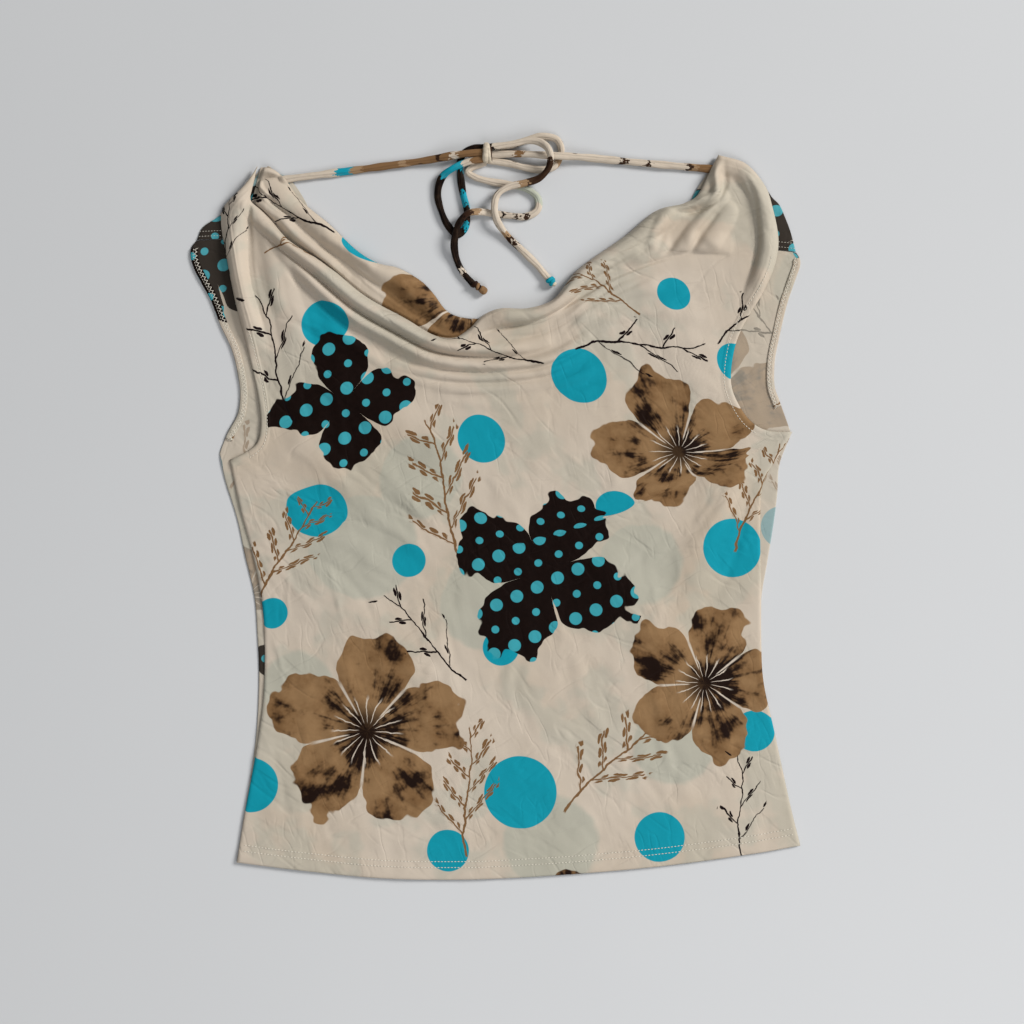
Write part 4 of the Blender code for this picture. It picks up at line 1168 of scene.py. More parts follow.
@dataclass
class FrontPanel:
    """The front: its hem and sides, its armholes, and the cowl with its gathered folds."""

    columns: int = 222
    crowding: float = 0.36
    body_rows: int = 88
    chest_rows: int = 46
    cowl_rows: int = 66
    hem_depth: float = 0.0140
    hem_ply: float = 0.00045
    hem_groove: float = 0.00042
    armhole_depth: float = 0.0060
    armhole_ply: float = 0.00055
    armhole_groove: float = 0.00032
    deepest: float = 0.0030  # of the finer folds, which fade within neck_calm of the neckline
    neck_calm: float = 0.005
    neck_shares: tuple[float, ...] = (0.0, 0.05, 0.09, 0.30, 0.44, 0.52, 0.86, 0.95, 1.0)
    neck_lows: tuple[float, ...] = (0.0046, 0.0056, 0.0020, 0.0019, 0.0022, 0.0007, 0.0007, 0.0034, 0.0034)
    neck_roll: float = 0.0032
    flat: tuple[float, float] = (0.46, 0.56)
    flat_area: float = 0.182

    def rows(self) -> Points:
        """Returns each row's share of the way up."""
        return np.concatenate([
            [0.0, 0.0007, 0.0018, 0.0034],
            np.linspace(0.0068, UNDERARM_ROW, self.body_rows, endpoint=False),
            np.linspace(UNDERARM_ROW, COWL_ROW, self.chest_rows, endpoint=False),
            np.linspace(COWL_ROW, 0.9968, self.cowl_rows, endpoint=False),
            1 - np.array([0.0032, 0.0017, 0.0007, 0.0])])

    def places(self) -> tuple[Points, Points]:
        """Returns the grid's places before the folds, and the neckline."""
        columns, rows = edged_shares(self.columns, (0.0012, 0.0034)), self.rows()
        columns -= self.crowding / (2 * np.pi) * np.sin(2 * np.pi * columns)
        neck = edge(FRONT_NECK)(np.linspace(0, 1, 161))
        eased = eased_line(neck, NECK_EASING)
        grid = patch(edge(FRONT_HEM), line_function(eased),
                     edge(FRONT_LEFT_SIDE, FRONT_LEFT_ARMHOLE, joins=(UNDERARM_ROW,)),
                     edge(FRONT_RIGHT_SIDE, FRONT_RIGHT_ARMHOLE, joins=(UNDERARM_ROW,)), columns, rows)
        near_neck = smooth_step((rows - NECK_SHAPE_ROW) / (1 - NECK_SHAPE_ROW))[:, None, None]
        return grid + near_neck * line_function(neck - eased)(columns)[None], neck

    def surface(self) -> Points:
        """Returns the upper face's points: folds, creases, hems and rolled edges."""
        places, neck = self.places()
        from_neck, along_neck, _ = distance_along(places.reshape(-1, 2), neck)
        from_neck, along_neck = (values.reshape(places.shape[:-1]) for values in (from_neck, along_neck))
        lift = COWL_LIFT * smooth_step(1 - from_neck / COWL_LIFT_REACH)
        height, lean = folded(places, FRONT_FOLDS, Crest.LAYERED)
        height += folded(places, BODY_FOLDS, Crest.SOFT)[0]
        top = np.maximum(lift + height, 0.6 * lift)
        creases = [fold for field in BODY_CREASES for fold in field.folds()]
        fine, fine_lean = folded(places, FRONT_DETAILS, Crest.LAYERED)
        fine += folded(places, creases, Crest.SHARP)[0]
        away = smooth_step(from_neck / self.neck_calm)
        top += np.maximum(fine * away, -self.deepest) + ripples(places, 0.070, 0.014, 0.00022, 5)
        from_hem = gap_to(places, FRONT_HEM)
        past_hem = from_hem - self.hem_depth
        ply = self.hem_ply * (1 - smooth_step(past_hem / PLY_END))
        top += ply - self.hem_groove * (bell(past_hem + 0.0006, 0.0011) + bell(past_hem + 0.0048, 0.0011))
        from_armhole = gap_to(places, FRONT_LEFT_ARMHOLE, FRONT_RIGHT_ARMHOLE)
        past_hem = from_armhole - self.armhole_depth
        top += self.armhole_ply * (1 - smooth_step(past_hem / PLY_END))
        top -= self.armhole_groove * bell(past_hem + 0.0010, 0.0010)
        top = FRONT_TOP + np.maximum(top, -0.0005)
        low = np.interp(along_neck, self.neck_shares, self.neck_lows)
        for gap, end, reach in ((gap_to(places, FRONT_LEFT_SIDE, FRONT_RIGHT_SIDE), 0.00125, 0.0026),
                                (from_hem, 0.00140, 0.0016), (from_armhole, 0.00150, 0.0020),
                                (from_neck, low, self.neck_roll)):
            top = rolled(top, gap, end, reach)
        return raised(places + lean + fine_lean, top)

    def build(self, jersey: bpy.types.Material) -> bpy.types.Object:
        """Builds the panel and returns it."""
        upper = self.surface()
        return cloth_shell("front", "front_panel", upper, JERSEY, flat_cloth(upper, (0.0, 0.0)),
                           ClothSide.RIGHT, jersey)


@dataclass
class CowlFacing:
    """The stretch of the cowl's facing that shows at the left, turned in along the neckline."""

    columns: int = 170
    rows: int = 44
    flat: tuple[float, float] = (0.235, 0.050)
    flat_area: float = 0.0068
    print_origin: tuple[float, float] = (0.150, -0.090)
    tuck: float = 0.0020
    lowest: float = 0.0013
    strap_rise: float = 0.0036
    strap_reach: float = 0.0042
    edge_low: float = 0.0008
    edge_roll: float = 0.0046

    def build(self, jersey: bpy.types.Material) -> bpy.types.Object:
        """Builds the facing and returns it."""
        columns, rows = edged_shares(self.columns, (0.002,)), edged_shares(self.rows, (0.006, 0.016))
        left, right = (edge(straight(FACING_LOWER[end], FACING_NECK[end])) for end in (0, -1))
        places = patch(edge(FACING_LOWER), edge(FACING_NECK), left, right, columns, rows)
        shown = smooth_step((1 - columns) / 0.18)[None, :]
        height, lean = folded(places, FACING_FOLDS, Crest.LAYERED)
        fine, fine_lean = folded(places, FACING_DETAILS, Crest.LAYERED)
        top = FRONT_TOP + np.maximum(height + fine, -0.0004) * shown + ripples(places, 0.03, 0.01, 0.0001, 9)
        from_rope = gap_to(places, FRONT_NECK)
        from_flap = gap_to(places, np.array([FACING_LOWER[0], FACING_NECK[0]]))
        sunk = smooth_step(from_rope / self.tuck) * smooth_step((from_flap - 0.0016) / 0.0026)
        top = np.maximum(self.lowest + (top - self.lowest) * sunk, self.lowest)
        from_strap = np.linalg.norm(places - np.array(STRAP_LEFT_EXIT), axis=-1)
        over_strap = self.strap_rise * bell(from_strap, self.strap_reach)
        top = np.maximum(top, over_strap + 0.0014)
        top = rolled(top, gap_to(places, FACING_NECK), self.edge_low + over_strap, self.edge_roll)
        upper = raised(places + (lean + fine_lean) * shown[..., None], top)
        return cloth_shell("facing", "cowl_facing", upper, JERSEY, flat_cloth(upper, self.print_origin),
                           ClothSide.RIGHT, jersey)


@dataclass
class BackPanel:
    """The back, wrong side up, which shows inside both armholes."""

    columns: int = 150
    rows: int = 150
    flat: tuple[float, float] = (0.44, 0.47)
    flat_area: float = 0.164
    print_origin: tuple[float, float] = (0.240, 0.405)
    height: float = 0.00085
    edge_low: float = 0.00055
    edge_roll: float = 0.0014

    def build(self, jersey: bpy.types.Material) -> bpy.types.Object:
        """Builds the panel and returns it."""
        columns, rows = edged_shares(self.columns, (0.0012, 0.0032)), edged_shares(self.rows, (0.001, 0.003))
        places = patch(
            edge(BACK_HEM), edge(BACK_LEFT_SHOULDER, BACK_NECK, BACK_RIGHT_SHOULDER, joins=(0.2, 0.8)),
            edge(BACK_LEFT_SIDE, BACK_LEFT_ARMHOLE, joins=(BACK_UNDERARM_ROW,)),
            edge(BACK_RIGHT_SIDE, BACK_RIGHT_ARMHOLE, joins=(BACK_UNDERARM_ROW,)), columns, rows)
        creases = CreaseField(-215.0, 40.0, -165.0, 200.0, 12, 78.0, 24.0, 44.0, 0.5, 4.5, 71).folds()
        creases += CreaseField(170.0, 50.0, 215.0, 200.0, 12, 100.0, 24.0, 44.0, 0.5, 4.5, 73).folds()
        fine, _ = folded(places, creases, Crest.SHARP)
        top = self.height + np.clip(fine + ripples(places, 0.06, 0.015, 0.00012, 3), -0.0001, 0.0006)
        outline = np.vstack([
            BACK_HEM, BACK_RIGHT_SIDE[1:], BACK_RIGHT_ARMHOLE[1:], BACK_RIGHT_SHOULDER[-2::-1],
            BACK_NECK[-2::-1], BACK_LEFT_SHOULDER[-2::-1], BACK_LEFT_ARMHOLE[-2::-1], BACK_LEFT_SIDE[-2::-1]])
        upper = raised(places, rolled(top, gap_to(places, outline), self.edge_low, self.edge_roll))
        return cloth_shell("back", "back_panel", upper, JERSEY, flat_cloth(upper, self.print_origin),
                           ClothSide.WRONG, jersey)


@dataclass
class ShoulderReturn:
    """The front's shoulder where it turns over to the back seam, wrong side up."""

    side: str
    outer: Points
    inner: Points
    print_origin: tuple[float, float]
    columns: int = 44
    rows: int = 44
    height: float = 0.0009
    seam_rise: float = 0.0005
    edge_low: float = 0.00065
    edge_roll: float = 0.0014

    def build(self, jersey: bpy.types.Material) -> bpy.types.Object:
        """Builds the return and returns it."""
        columns, rows = edged_shares(self.columns, (0.006,)), edged_shares(self.rows, (0.006,))
        left, right = (self.outer, self.inner) if self.outer[0][0] < 0 else (self.inner, self.outer)
        low, high = straight(left[0], right[0]), straight(left[-1], right[-1])
        places = patch(edge(low), edge(high), edge(left), edge(right), columns, rows)
        top = self.height + np.maximum(ripples(places, 0.03, 0.010, 0.00016, 13), -0.0002)
        top += self.seam_rise * bell(gap_to(places, low) - 0.002, 0.0016)
        upper = raised(places, rolled(top, gap_to(places, self.outer), self.edge_low, self.edge_roll))
        return cloth_shell(f"return_{self.side}", f"shoulder_return_{self.side}", upper, JERSEY,
                           flat_cloth(upper, self.print_origin), ClothSide.WRONG, jersey)


@dataclass
class ArmholeHem:
    """The back's turned-in armhole hem, a strip whose right side shows."""

    side: str
    armhole: Points
    first: float
    last: float
    inward: float
    print_origin: tuple[float, float]
    width: float = 0.0055
    thickness: float = 0.0005
    columns: int = 150
    height: float = 0.00135
    dome: float = 0.00055
    pressed: float = 0.00026

    def line(self, share: float) -> Points:
        """Returns the line that runs at a share of the strip's width, from its outer edge."""
        shares = np.linspace(self.first, self.last, self.columns)
        return beside(self.armhole, self.inward, EDGE_GAP + share * (self.width - EDGE_GAP), shares, 240)

    def build(self, jersey: bpy.types.Material) -> bpy.types.Object:
        """Builds the strip and returns it."""
        shares = np.array([0.0, 0.05, 0.14, 0.30, 0.50, 0.70, 0.86, 0.95, 1.0])
        places = np.stack([self.line(share) for share in shares])
        dome = np.sqrt(np.maximum(1 - (2 * shares - 1) ** 2, 0))[:, None]
        wave = ripples(places, 0.02, 0.006, 0.00010, 17)
        pressed = self.pressed * bell(shares - 0.70, 0.14)[:, None]
        upper = raised(places, self.height + dome * (self.dome + wave) - pressed)
        upper = upper[::-1] if self.inward < 0 else upper
        return cloth_shell(f"armhole_hem_{self.side}", f"back_armhole_hem_{self.side}", upper, self.thickness,
                           upper[..., :2] + np.array(self.print_origin), ClothSide.RIGHT, jersey)


def stitch_tree() -> bpy.types.GeometryNodeTree:
    """Builds the stitches' tree: a thread lump at every pitch along a line, tilted in turn to each side."""
    tree = bpy.data.node_groups.new("stitch_row", "GeometryNodeTree")
    inputs = {"Geometry": "Geometry", "Pitch": "Float", "Stitch Length": "Float", "Thread Radius": "Float",
              "Tilt": "Float", "Seed": "Int", "Thread": "Material"}
    for label, kind in inputs.items():
        tree.interface.new_socket(label, in_out="INPUT", socket_type=f"NodeSocket{kind}")
    tree.interface.new_socket("Geometry", in_out="OUTPUT", socket_type="NodeSocketGeometry")

    def add(kind: str, sockets: dict[str | int, object] | None = None, **settings: object) -> Socket:
        """Adds a node and returns its first output."""
        return add_node(tree, kind, settings, sockets).outputs[0]

    given = add_node(tree, "NodeGroupInput").outputs
    line = add("GeometryNodeMeshToCurve", {0: given["Geometry"]})
    spaced = add("GeometryNodeResampleCurve", {"Curve": line, "Length": given["Pitch"]}, mode="LENGTH")
    spots = add_node(tree, "GeometryNodeCurveToPoints", {"mode": "EVALUATED"}, {"Curve": spaced}).outputs
    lump = add("GeometryNodeMeshUVSphere", {"Segments": 6, "Rings": 4, "Radius": 1.0})
    half = add("ShaderNodeMath", {0: given["Stitch Length"], 1: 0.5}, operation="MULTIPLY")
    size = add("ShaderNodeCombineXYZ", {0: given["Thread Radius"], 1: given["Thread Radius"], 2: half})
    shaped = add("GeometryNodeTransform", {"Geometry": lump, "Scale": size})
    odd = add("ShaderNodeMath", {0: add("GeometryNodeInputIndex"), 1: 2.0}, operation="MODULO")
    sign = add("ShaderNodeMath", {0: odd, 1: 2.0, 2: -1.0}, operation="MULTIPLY_ADD")
    swing = add("ShaderNodeMath", {0: given["Tilt"], 1: sign}, operation="MULTIPLY")
    jitter = add_node(tree, "FunctionNodeRandomValue", {"data_type": "FLOAT"},
                      {2: 0.85, 3: 1.15, "Seed": given["Seed"]}).outputs[1]
    uneven = add("ShaderNodeMath", {0: swing, 1: jitter}, operation="MULTIPLY")
    turn = add("FunctionNodeAlignRotationToVector", {"Vector": spots["Tangent"]}, axis="Z")
    about = add("FunctionNodeAxisAngleToRotation", {"Axis": (0.0, 0.0, 1.0), "Angle": uneven})
    tilted = add("FunctionNodeRotateRotation", {0: turn, 1: about}, rotation_space="GLOBAL")
    placed = add("GeometryNodeInstanceOnPoints",
                 {"Points": spots["Points"], "Instance": shaped, "Rotation": tilted})
    solid = add("GeometryNodeRealizeInstances", {0: placed})
    dressed = add("GeometryNodeSetMaterial", {"Geometry": solid, "Material": given["Thread"]})
    add_node(tree, "NodeGroupOutput", None, {0: dressed})
    return tree


@dataclass
class StitchRow:
    """One row of stitches on the cloth, metres and radians."""

    name: str
    path: Points
    pitch: float
    stitch: float
    radius: float
    tilt: float
    seed: int

    def build(self, tree: bpy.types.GeometryNodeTree, cloth: bpy.types.Object, thread: bpy.types.Material
              ) -> bpy.types.Object:
        """Sews the row.

        Args:
            tree: The stitches' tree.
            cloth: The piece that the row is sewn through.
            thread: The thread's material.

        Returns:
            The row, a plain mesh.
        """
        surface = BVHTree.FromPolygons([v.co[:] for v in cloth.data.vertices],
                                       [p.vertices[:] for p in cloth.data.polygons])
        spots = []
        for x, y in self.path:
            hit, _, _, _ = surface.ray_cast(Vector((x, y, 0.1)), Vector((0, 0, -1)))
            if hit is not None:
                spots.append((x, y, hit.z + PROUD * self.radius))
        mesh = bpy.data.meshes.new(f"{self.name}_line")
        mesh.from_pydata(spots, [(i, i + 1) for i in range(len(spots) - 1)], [])
        guide = bpy.data.objects.new(f"{self.name}_line", mesh)
        bpy.context.scene.collection.objects.link(guide)
        modifier = guide.modifiers.new("stitches", "NODES")
        modifier.node_group = tree
        values = {"Pitch": self.pitch, "Stitch Length": self.stitch, "Thread Radius": self.radius,
                  "Tilt": self.tilt, "Seed": self.seed, "Thread": thread}
        for item in tree.interface.items_tree:
            if item.name in values:
                modifier[item.identifier] = values[item.name]
        drawn = guide.evaluated_get(bpy.context.evaluated_depsgraph_get())
        made = bpy.data.objects.new(self.name, bpy.data.meshes.new_from_object(drawn))
        made.data.shade_smooth()
        bpy.data.objects.remove(guide)
        bpy.context.scene.collection.objects.link(made)
        settle(made, "jersey_right_side")
        return made


@dataclass
class TieCord:
    """A stretch of the neck tie: a turned strip of jersey, slightly flattened, along its route.

    The route gives x, y and z in turn, in millimetres like the tucked ends. The rest is in metres.
    """

    name: str
    slot: str
    far_end: str
    route: tuple[float, ...]
    patches: tuple[tuple[float, Colour], ...]
    tucked: tuple[float, float] = (3.0, 3.0)
    half_width: float = 0.0025
    half_height: float = 0.0017
    diameter: float = 0.0050

    def centreline(self) -> Points:
        """Returns the points that the cord follows, metres, close together, with both ends tucked in."""
        route = np.reshape(self.route, (-1, 3))
        first, last = unit(route[0] - route[1]), unit(route[-1] - route[-2])
        whole = np.vstack([route[0] + self.tucked[0] * first, route, route[-1] + self.tucked[1] * last]) * MM
        line = smooth_curve(whole, max(40, int(length_of(smooth_curve(whole, 400)) / CORD_STEP)))
        line[:, 2] = np.maximum(line[:, 2] - 0.0003, self.half_height + 0.0001)
        return line

    def build(self) -> bpy.types.Object:
        """Builds the cord, dresses it and returns it."""
        line = self.centreline()
        long = length_of(line)
        phase = 60.0 * long * np.linspace(0, 1, len(line))
        swell = 1 + 0.07 * np.sin(phase * 2.7 + 1.0) + 0.05 * np.sin(phase * 6.1)
        turned = 0.30 * np.sin(phase * 1.3 + 0.7)
        points, faces, uv = tube(line, self.half_width * swell, self.half_height * (2 - swell), turned)
        points[:, 2] = np.maximum(points[:, 2], CLEAR)
        cord = new_object(self.name, points, faces)
        set_cloth_map(cord, uv, np.zeros(len(points)))
        cord.data.materials.append(CordColours(f"{self.name}_jersey", long, self.patches).material())
        settle(cord, self.slot, f"tie_{self.name}")
        return cord

    def declare(self, cord: bpy.types.Object, with_pieces: tuple[bpy.types.Object, ...] = ()) -> None:
        line = self.centreline()


TIE_CORDS: tuple[TieCord, ...] = (
    TieCord("strap_left", "cord_cream", "object", (-149.2, 243.4, 2.1, -111.9, 248.2, 2.1, -72, 253.6, 2.1,
            -50, 256.4, 3.4, -34, 258.6, 6.2, -23.5, 260.2, 6.8, -9.9, 261.4, 6.6),
        ((0, CREAM), (0.29, TURQUOISE), (0.36, PALE_TAN), (0.42, TAN), (0.6, PALE_TAN), (0.64, TAN),
         (0.78, UMBER), (0.8, TAN), (0.85, CREAM), (0.88, TAN)), (6, 3), 0.0027),
    TieCord("strap_right", "cord_cream", "object", (152.6, 250.7, 2.1, 104.1, 255, 2.1, 78, 257.4, 2.6,
            60.9, 258.6, 4.6, 45.5, 258.9, 6.9, 36, 259.4, 6.6, 19.2, 260.9, 4.2, -2.3, 260.8, 3.4),
        ((0, TAN), (0.09, PALE_TAN), (0.12, UMBER), (0.14, CREAM), (0.3, UMBER), (0.315, CREAM),
         (0.4, UMBER), (0.43, CREAM), (0.86, TAN), (0.9, CREAM)), (6, 3), 0.0027),
    TieCord("loop_left", "cord_brown", "object", (-9.9, 265.6, 2.1, -16.1, 265.3, 2.1, -21.8, 262.6, 2.1,
            -25.3, 256, 2.1, -25.2, 247, 2.1, -23.2, 233, 2.1, -20.3, 220, 2.1, -21.2, 209.4, 2.1,
            -27, 203.4, 2.1, -33.4, 209, 2.1, -39, 221, 2.1, -41.4, 233.4, 2.1, -38, 244.4, 3.9,
            -31, 249.6, 6.7, -20.6, 254.2, 6.9, -9.9, 256.6, 6.6),
        ((0, COCOA), (0.17, TURQUOISE), (0.2, COCOA), (0.3, TURQUOISE), (0.36, COCOA),
         (0.44, TURQUOISE), (0.47, COCOA), (0.8, TURQUOISE), (0.91, CREAM), (0.95, TAN))),
    TieCord("loop_right", "cord_cream", "object", (-2.3, 265.6, 2.1, 12, 267.6, 2.1, 23, 271.6, 2.1,
            34, 273.9, 2.1, 44, 271.8, 2.1, 47.4, 265, 2.1, 46, 257.4, 2.1, 42, 252.4, 2.1, 34, 250, 2.1,
            22, 251.4, 2.1, 10, 254.4, 2.1, -2.3, 256.3, 2.1),
        ((0, COCOA), (0.06, CREAM), (0.16, UMBER), (0.18, CREAM), (0.55, PALE_TAN), (0.6, CREAM))),
    TieCord("tail_right", "cord_cream", "knot", (-2.3, 265.4, 6.7, 12, 267.4, 6.7, 22.8, 269.6, 6.9,
            31, 268.6, 8.4, 37.2, 263.6, 11.6, 39.4, 257.6, 12.4, 38.2, 250, 9.4, 31.8, 243.2, 6.9,
            21, 239.4, 6.7, 9.2, 236.6, 6.7, 1.6, 231.2, 6.7, -0.6, 222.6, 6.7, 1.2, 213, 6.2,
            8.4, 202.6, 2.9, 18.6, 192.8, 2.1, 29.4, 182.2, 2.1, 37.6, 172.4, 2.3),
        ((0, COCOA), (0.035, CREAM), (0.31, UMBER), (0.45, PALE_TAN), (0.49, CREAM), (0.74, PALE_TAN),
         (0.77, UMBER), (0.79, CREAM), (0.8, UMBER), (0.82, CREAM))),
    TieCord("tail_left", "cord_brown", "knot", (-9.9, 254.6, 2.1, -17.2, 251.6, 2.1, -20, 248.6, 2.1,
            -14.4, 244.6, 2.1, -3.9, 241.6, 2.1, 10.5, 239.2, 2.1, 22, 236.4, 2.1, 30.6, 229.6, 2.1,
            30.2, 221, 2.1, 22, 216.4, 2.1, 10.5, 217, 2.1, -2, 218.6, 2.1, -11, 219.4, 4.2,
            -19.6, 217.8, 6.7, -25.6, 211.4, 6.8, -28.4, 203, 6.7, -29.4, 194.6, 5, -27.4, 184.6, 2.3,
            -22.8, 175.6, 2.1, -17.3, 169.4, 2.3),
        ((0, CREAM), (0.28, PALE_GREEN), (0.41, CREAM), (0.47, UMBER), (0.485, CREAM), (0.51, UMBER),
         (0.52, CREAM), (0.56, COCOA), (0.575, CREAM), (0.66, PALE_TAN), (0.69, UMBER), (0.73, COCOA),
         (0.93, CREAM), (0.955, COCOA))),
)


@dataclass(frozen=True)
class KnotTurn:
    """One turn of cord round a knot: a loop across its long way, metres and degrees."""

    shift: float
    across: float
    high: float
    half_width: float
    half_height: float
    slant: float
    tone: int = 0

    def shape(self) -> tuple[Points, Faces]:
        """Returns the turn's points and faces, round the knot's middle."""
        count, around = 44, 12
        angle = np.linspace(0, 2 * np.pi, count, endpoint=False)
        slant = math.radians(self.slant)
        x = self.shift + self.across * np.cos(angle) * math.sin(slant)
        loop = np.stack([x, self.across * np.cos(angle) * math.cos(slant), self.high * np.sin(angle)], 1)
        tangent = unit(np.roll(loop, -1, axis=0) - np.roll(loop, 1, axis=0))
        out = unit(np.cross(tangent, (math.cos(slant), -math.sin(slant), 0.0)))
        wide = np.cross(out, tangent)
        section = np.linspace(0, 2 * np.pi, around, endpoint=False)[None, :, None]
        ring = (loop[:, None] + self.half_width * np.cos(section) * wide[:, None]
                + self.half_height * np.sin(section) * out[:, None])
        index = np.arange(count * around).reshape(count, around)
        after, beyond = np.roll(index, -1, axis=0), np.roll(index, -1, axis=1)
        quads = np.stack([index, beyond, np.roll(after, -1, axis=1), after], -1).reshape(-1, 4)
        points = ring.reshape(-1, 3)
        first, second, _, fourth = points[quads.T]
        facing = np.cross(second - first, fourth - first)
        if (facing * (points[quads].mean(1) - np.repeat(loop, around, axis=0))).sum() < 0:
            quads = quads[:, ::-1]
        return points, [tuple(face) for face in quads.tolist()]


@dataclass(frozen=True)
class KnotLump:
    """A rounded lump on a knot's long way: its firm middle, or the short end that comes out of it. Metres."""

    shift: float
    size: Place
    tone: int = 0

    def shape(self) -> tuple[Points, Faces]:
        """Returns the lump's points and faces, round the knot's middle."""
        points, faces = pebble(np.array(self.size))
        return points + np.array([self.shift, 0.0, 0.0]), faces


@dataclass
class Knot:
    """A knot of the tie: a firm middle with turns of cord laid round it, metres and degrees."""

    name: str
    node: str
    slot: str
    colours: tuple[PlainColour, ...]
    centre: Place
    turned: float
    parts: tuple[KnotLump | KnotTurn, ...]

    def build(self) -> bpy.types.Object:
        """Builds the knot from its parts, dresses it and returns it."""
        groups, faces, tones, start = [], [], [], 0
        for part in self.parts:
            points, own = part.shape()
            groups.append(spun(points, self.turned) + np.array(self.centre))
            faces += [tuple(i + start for i in face) for face in own]
            tones += [part.tone] * len(own)
            start += len(points)
        points = np.vstack(groups)
        points[:, 2] = np.maximum(points[:, 2], CLEAR)
        knot = new_object(self.name, points, faces)
        for colour in self.colours:
            knot.data.materials.append(colour.material())
        knot.data.polygons.foreach_set("material_index", tones)
        settle(knot, self.slot, self.node)
        return knot


KNOTS: tuple[Knot, ...] = (
    Knot("bow_knot", "tie_knot", "cord_cream",
         (PlainColour("knot_cream", srgb(212, 198, 176)), PlainColour("knot_umber", srgb(62, 42, 31))),
         (-0.0061, 0.2612, 0.0051), 0.0,
         (KnotLump(0.0, (0.0050, 0.0118, 0.0080)),
          KnotTurn(-0.0006, 0.0062, 0.0040, 0.0022, 0.0015, 4.0),
          KnotTurn(0.0012, 0.0058, 0.0037, 0.0017, 0.0013, -7.0),
          KnotTurn(0.0027, 0.0050, 0.0032, 0.0010, 0.0010, -3.0, 1))),
    Knot("end_knot_right", "tail_knot_right", "cord_turquoise",
         (PlainColour("knot_turquoise", srgb(26, 156, 176)), PlainColour("tip_cream", srgb(214, 200, 178))),
         (0.0402, 0.1698, 0.0031), -45.0,
         (KnotLump(0.0, (0.0058, 0.0052, 0.0050)),
          KnotTurn(-0.0014, 0.0025, 0.0023, 0.0013, 0.0008, 14.0),
          KnotTurn(0.0008, 0.0025, 0.0023, 0.0013, 0.0008, -20.0),
          KnotLump(0.0029, (0.0030, 0.0036, 0.0036), 1))),
    Knot("end_knot_left", "tail_knot_left", "cord_brown",
         (PlainColour("knot_cocoa", srgb(46, 28, 20)), PlainColour("tip_tan", srgb(140, 108, 76))),
         (-0.0120, 0.1656, 0.0028), -35.0,
         (KnotLump(0.0, (0.0098, 0.0040, 0.0042)),
          KnotTurn(-0.0034, 0.0021, 0.0019, 0.0015, 0.0008, 18.0),
          KnotTurn(-0.0006, 0.0020, 0.0018, 0.0013, 0.0008, -24.0, 1),
          KnotLump(0.0040, (0.0062, 0.0056, 0.0050), 1))),
)


@dataclass
class NeckTie:
    """The neck tie: two straps, the bow's two loops and its two knotted tails."""

    cords: tuple[TieCord, ...] = TIE_CORDS
    knots: tuple[Knot, ...] = KNOTS

    def build(self) -> None:
        """Builds every stretch and knot."""
        knots = {knot.name: knot.build() for knot in self.knots}
        cords = {cord.name: cord.build() for cord in self.cords}
        carried = {"strap_left": "bow_knot", "tail_right": "end_knot_right", "tail_left": "end_knot_left"}
        for cord in self.cords:
            on_it = (knots[carried[cord.name]],) if cord.name in carried else ()
            cord.declare(cords[cord.name], on_it)


@dataclass
class Sewing:
    """Every row of stitches on the garment."""

    pitch: float = 0.0024
    thread_radius: float = 0.00028

    def rows(self, hems: dict[str, ArmholeHem]) -> list[tuple[str, StitchRow]]:
        """Returns each row with the name of the piece it is sewn on."""
        hem_ends, beside_hem = (0.012, 0.988), (self.pitch, 0.72 * self.pitch, self.thread_radius, 0.0)
        plain = (("front", "hem_stitch_upper", FRONT_HEM, 1, 0.0134, hem_ends),
                 ("front", "hem_stitch_lower", FRONT_HEM, 1, 0.0092, hem_ends),
                 ("front", "armhole_stitch_right", FRONT_RIGHT_ARMHOLE, 1, 0.0050, (0.10, 0.62)),
                 ("front", "armhole_stitch_left", FRONT_LEFT_ARMHOLE, -1, 0.0050, (0.06, 0.44)),
                 ("back", "hem_stitch_back", BACK_HEM, 1, 0.0134, hem_ends))
        made = []
        for seed, (cloth, name, table, side, depth, ends) in enumerate(plain, 1):
            line = beside(table, side, depth, np.linspace(*ends, 260), 300)
            made.append((cloth, StitchRow(name, line, *beside_hem, seed)))
        for name, hem in hems.items():
            made.append((name, StitchRow(f"{name}_zigzag", hem.line(0.68), 0.0014, 0.0034, 0.00024, 0.95, 6)))
            made.append((name, StitchRow(f"{name}_row", hem.line(0.36), 0.0019, 0.0013, 0.00018, 0.0, 7)))
        for side, seam in (("left", LEFT_SEAM), ("right", RIGHT_SEAM)):
            for number, depth in enumerate((0.0022, 0.0058), 1):
                line = beside(seam, 1, depth, np.linspace(0.03, 0.97, 260), 300)
                made.append((f"return_{side}", StitchRow(f"seam_stitch_{side}_{number}", line, 0.0020, 0.0013,
                                                         0.00017, 0.0, 7 + number)))
        return made

    def build(self, pieces: dict[str, bpy.types.Object], hems: dict[str, ArmholeHem]
              ) -> dict[str, list[bpy.types.Object]]:
        """Sews every row and returns the rows of each piece."""
        tree = stitch_tree()
        thread = Thread("cream_thread", srgb(236, 229, 214)).material()
        sewn: dict[str, list[bpy.types.Object]] = {name: [] for name in pieces}
        for name, row in self.rows(hems):
            sewn[name].append(row.build(tree, pieces[name], thread))
        return sewn


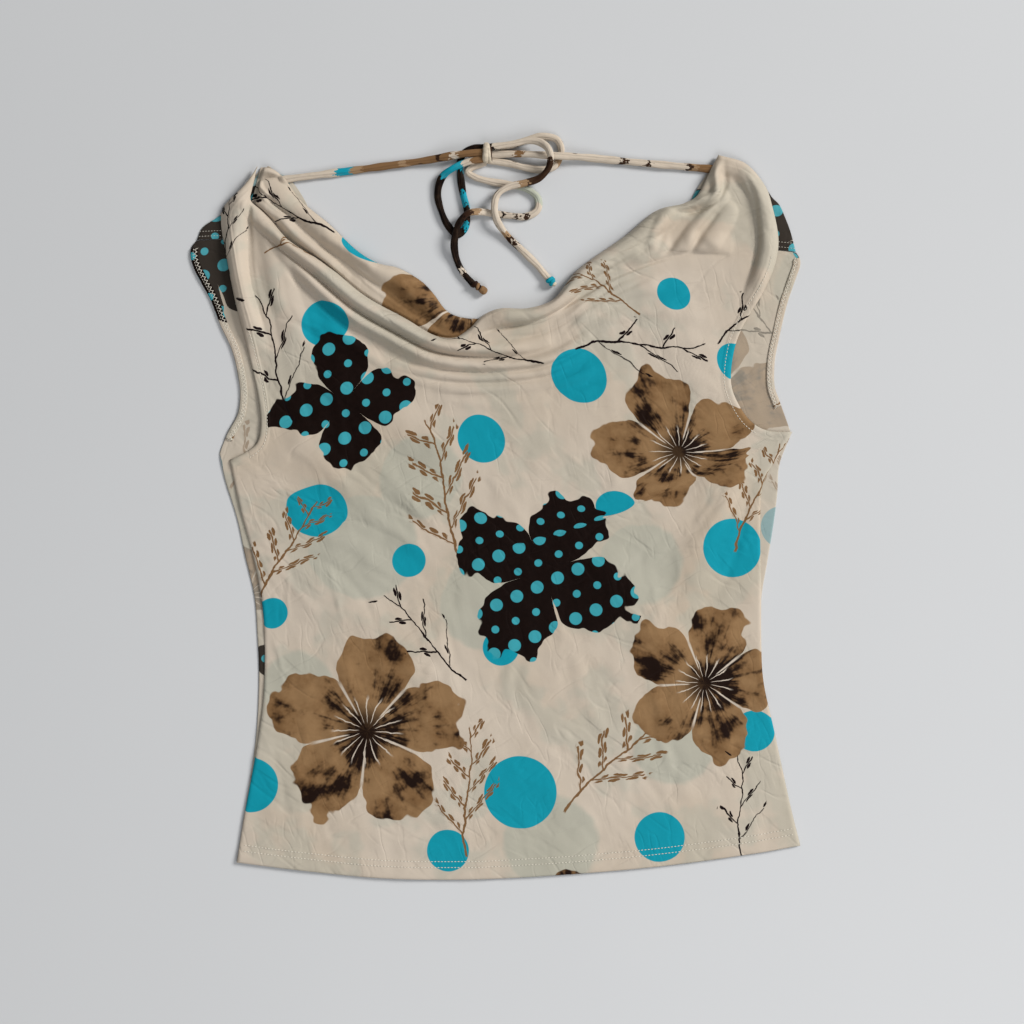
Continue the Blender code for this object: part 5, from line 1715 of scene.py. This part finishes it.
@dataclass
class Studio:
    """The camera straight above, the pale floor, and soft light from the upper right."""

    seen_width: float = 0.737
    height: float = 1.10
    centre: tuple[float, float] = (0.0120, 0.0041)
    sensor: float = 36.0

    def camera(self) -> None:
        """Sets the camera at the photograph's place."""
        data = bpy.data.cameras.new("view")
        data.sensor_width = self.sensor
        data.lens = self.sensor * self.height / self.seen_width
        made = bpy.data.objects.new("view", data)
        made.location = (*self.centre, self.height)
        bpy.context.scene.collection.objects.link(made)
        bpy.context.scene.camera = made

    def floor(self) -> None:
        """Lays the floor, a square just under the garment."""
        corners = [(3.0 * x, 3.0 * y, -0.0002) for x, y in ((-1, -1), (1, -1), (1, 1), (-1, 1))]
        made = new_object("floor", np.array(corners), [(0, 1, 2, 3)])
        made.data.materials.append(FloorPaint().material())

    def lamp(self, name: str, place: Place, size: float, power: float, colour: Place) -> None:
        """Hangs a soft square lamp that faces the garment, its side in metres and its power in watts."""
        data = bpy.data.lights.new(name, "AREA")
        data.size = size
        data.energy = power
        data.color = colour
        made = bpy.data.objects.new(name, data)
        made.location = place
        made.rotation_euler = (-Vector(place)).to_track_quat("-Z", "Y").to_euler()
        bpy.context.scene.collection.objects.link(made)

    def light(self) -> None:
        """Hangs the lamps and sets the room's own light."""
        self.lamp("window", (4.3, 2.4, 3.1), 1.8, 340.0, (1.0, 0.99, 0.975))
        self.lamp("room", (0.5, -1.2, 1.4), 1.1, 13.0, (0.97, 0.98, 1.0))
        world = bpy.data.worlds.new("room")
        world.use_nodes = True
        sky = world.node_tree.nodes["Background"]
        sky.inputs["Color"].default_value = (0.97, 0.985, 1.0, 1.0)
        sky.inputs["Strength"].default_value = 0.26
        bpy.context.scene.world = world
        bpy.context.scene.view_settings.view_transform = "Standard"


def main() -> None:
    """Builds the whole scene and reports each piece."""
    logging.basicConfig(level=logging.INFO, format="%(name)s %(message)s")
    studio = Studio()
    studio.camera()
    NeckTie().build()
    jersey = PrintedJersey().material()
    front, back, cowl = FrontPanel(), BackPanel(), CowlFacing()
    pieces = {"front": front.build(jersey), "back": back.build(jersey), "facing": cowl.build(jersey)}
    returns = {
        "return_left": ShoulderReturn("left", LEFT_RETURN_OUTER, LEFT_RETURN_INNER, (0.247, -0.226)),
        "return_right": ShoulderReturn("right", RIGHT_RETURN_OUTER, RIGHT_RETURN_INNER, (-0.156, -0.228)),
    }
    hems = {
        "armhole_hem_left": ArmholeHem("left", BACK_LEFT_ARMHOLE, 0.07, 0.96, -1.0, (0.249, -0.218)),
        "armhole_hem_right": ArmholeHem("right", BACK_RIGHT_ARMHOLE, 0.16, 0.97, 1.0, (0.12, 0.13)),
    }
    for name, shape in {**returns, **hems}.items():
        pieces[name] = shape.build(jersey)
    sewn = Sewing().build(pieces, hems)
    studio.floor()
    studio.light()


if __name__ == "__main__":
    main()
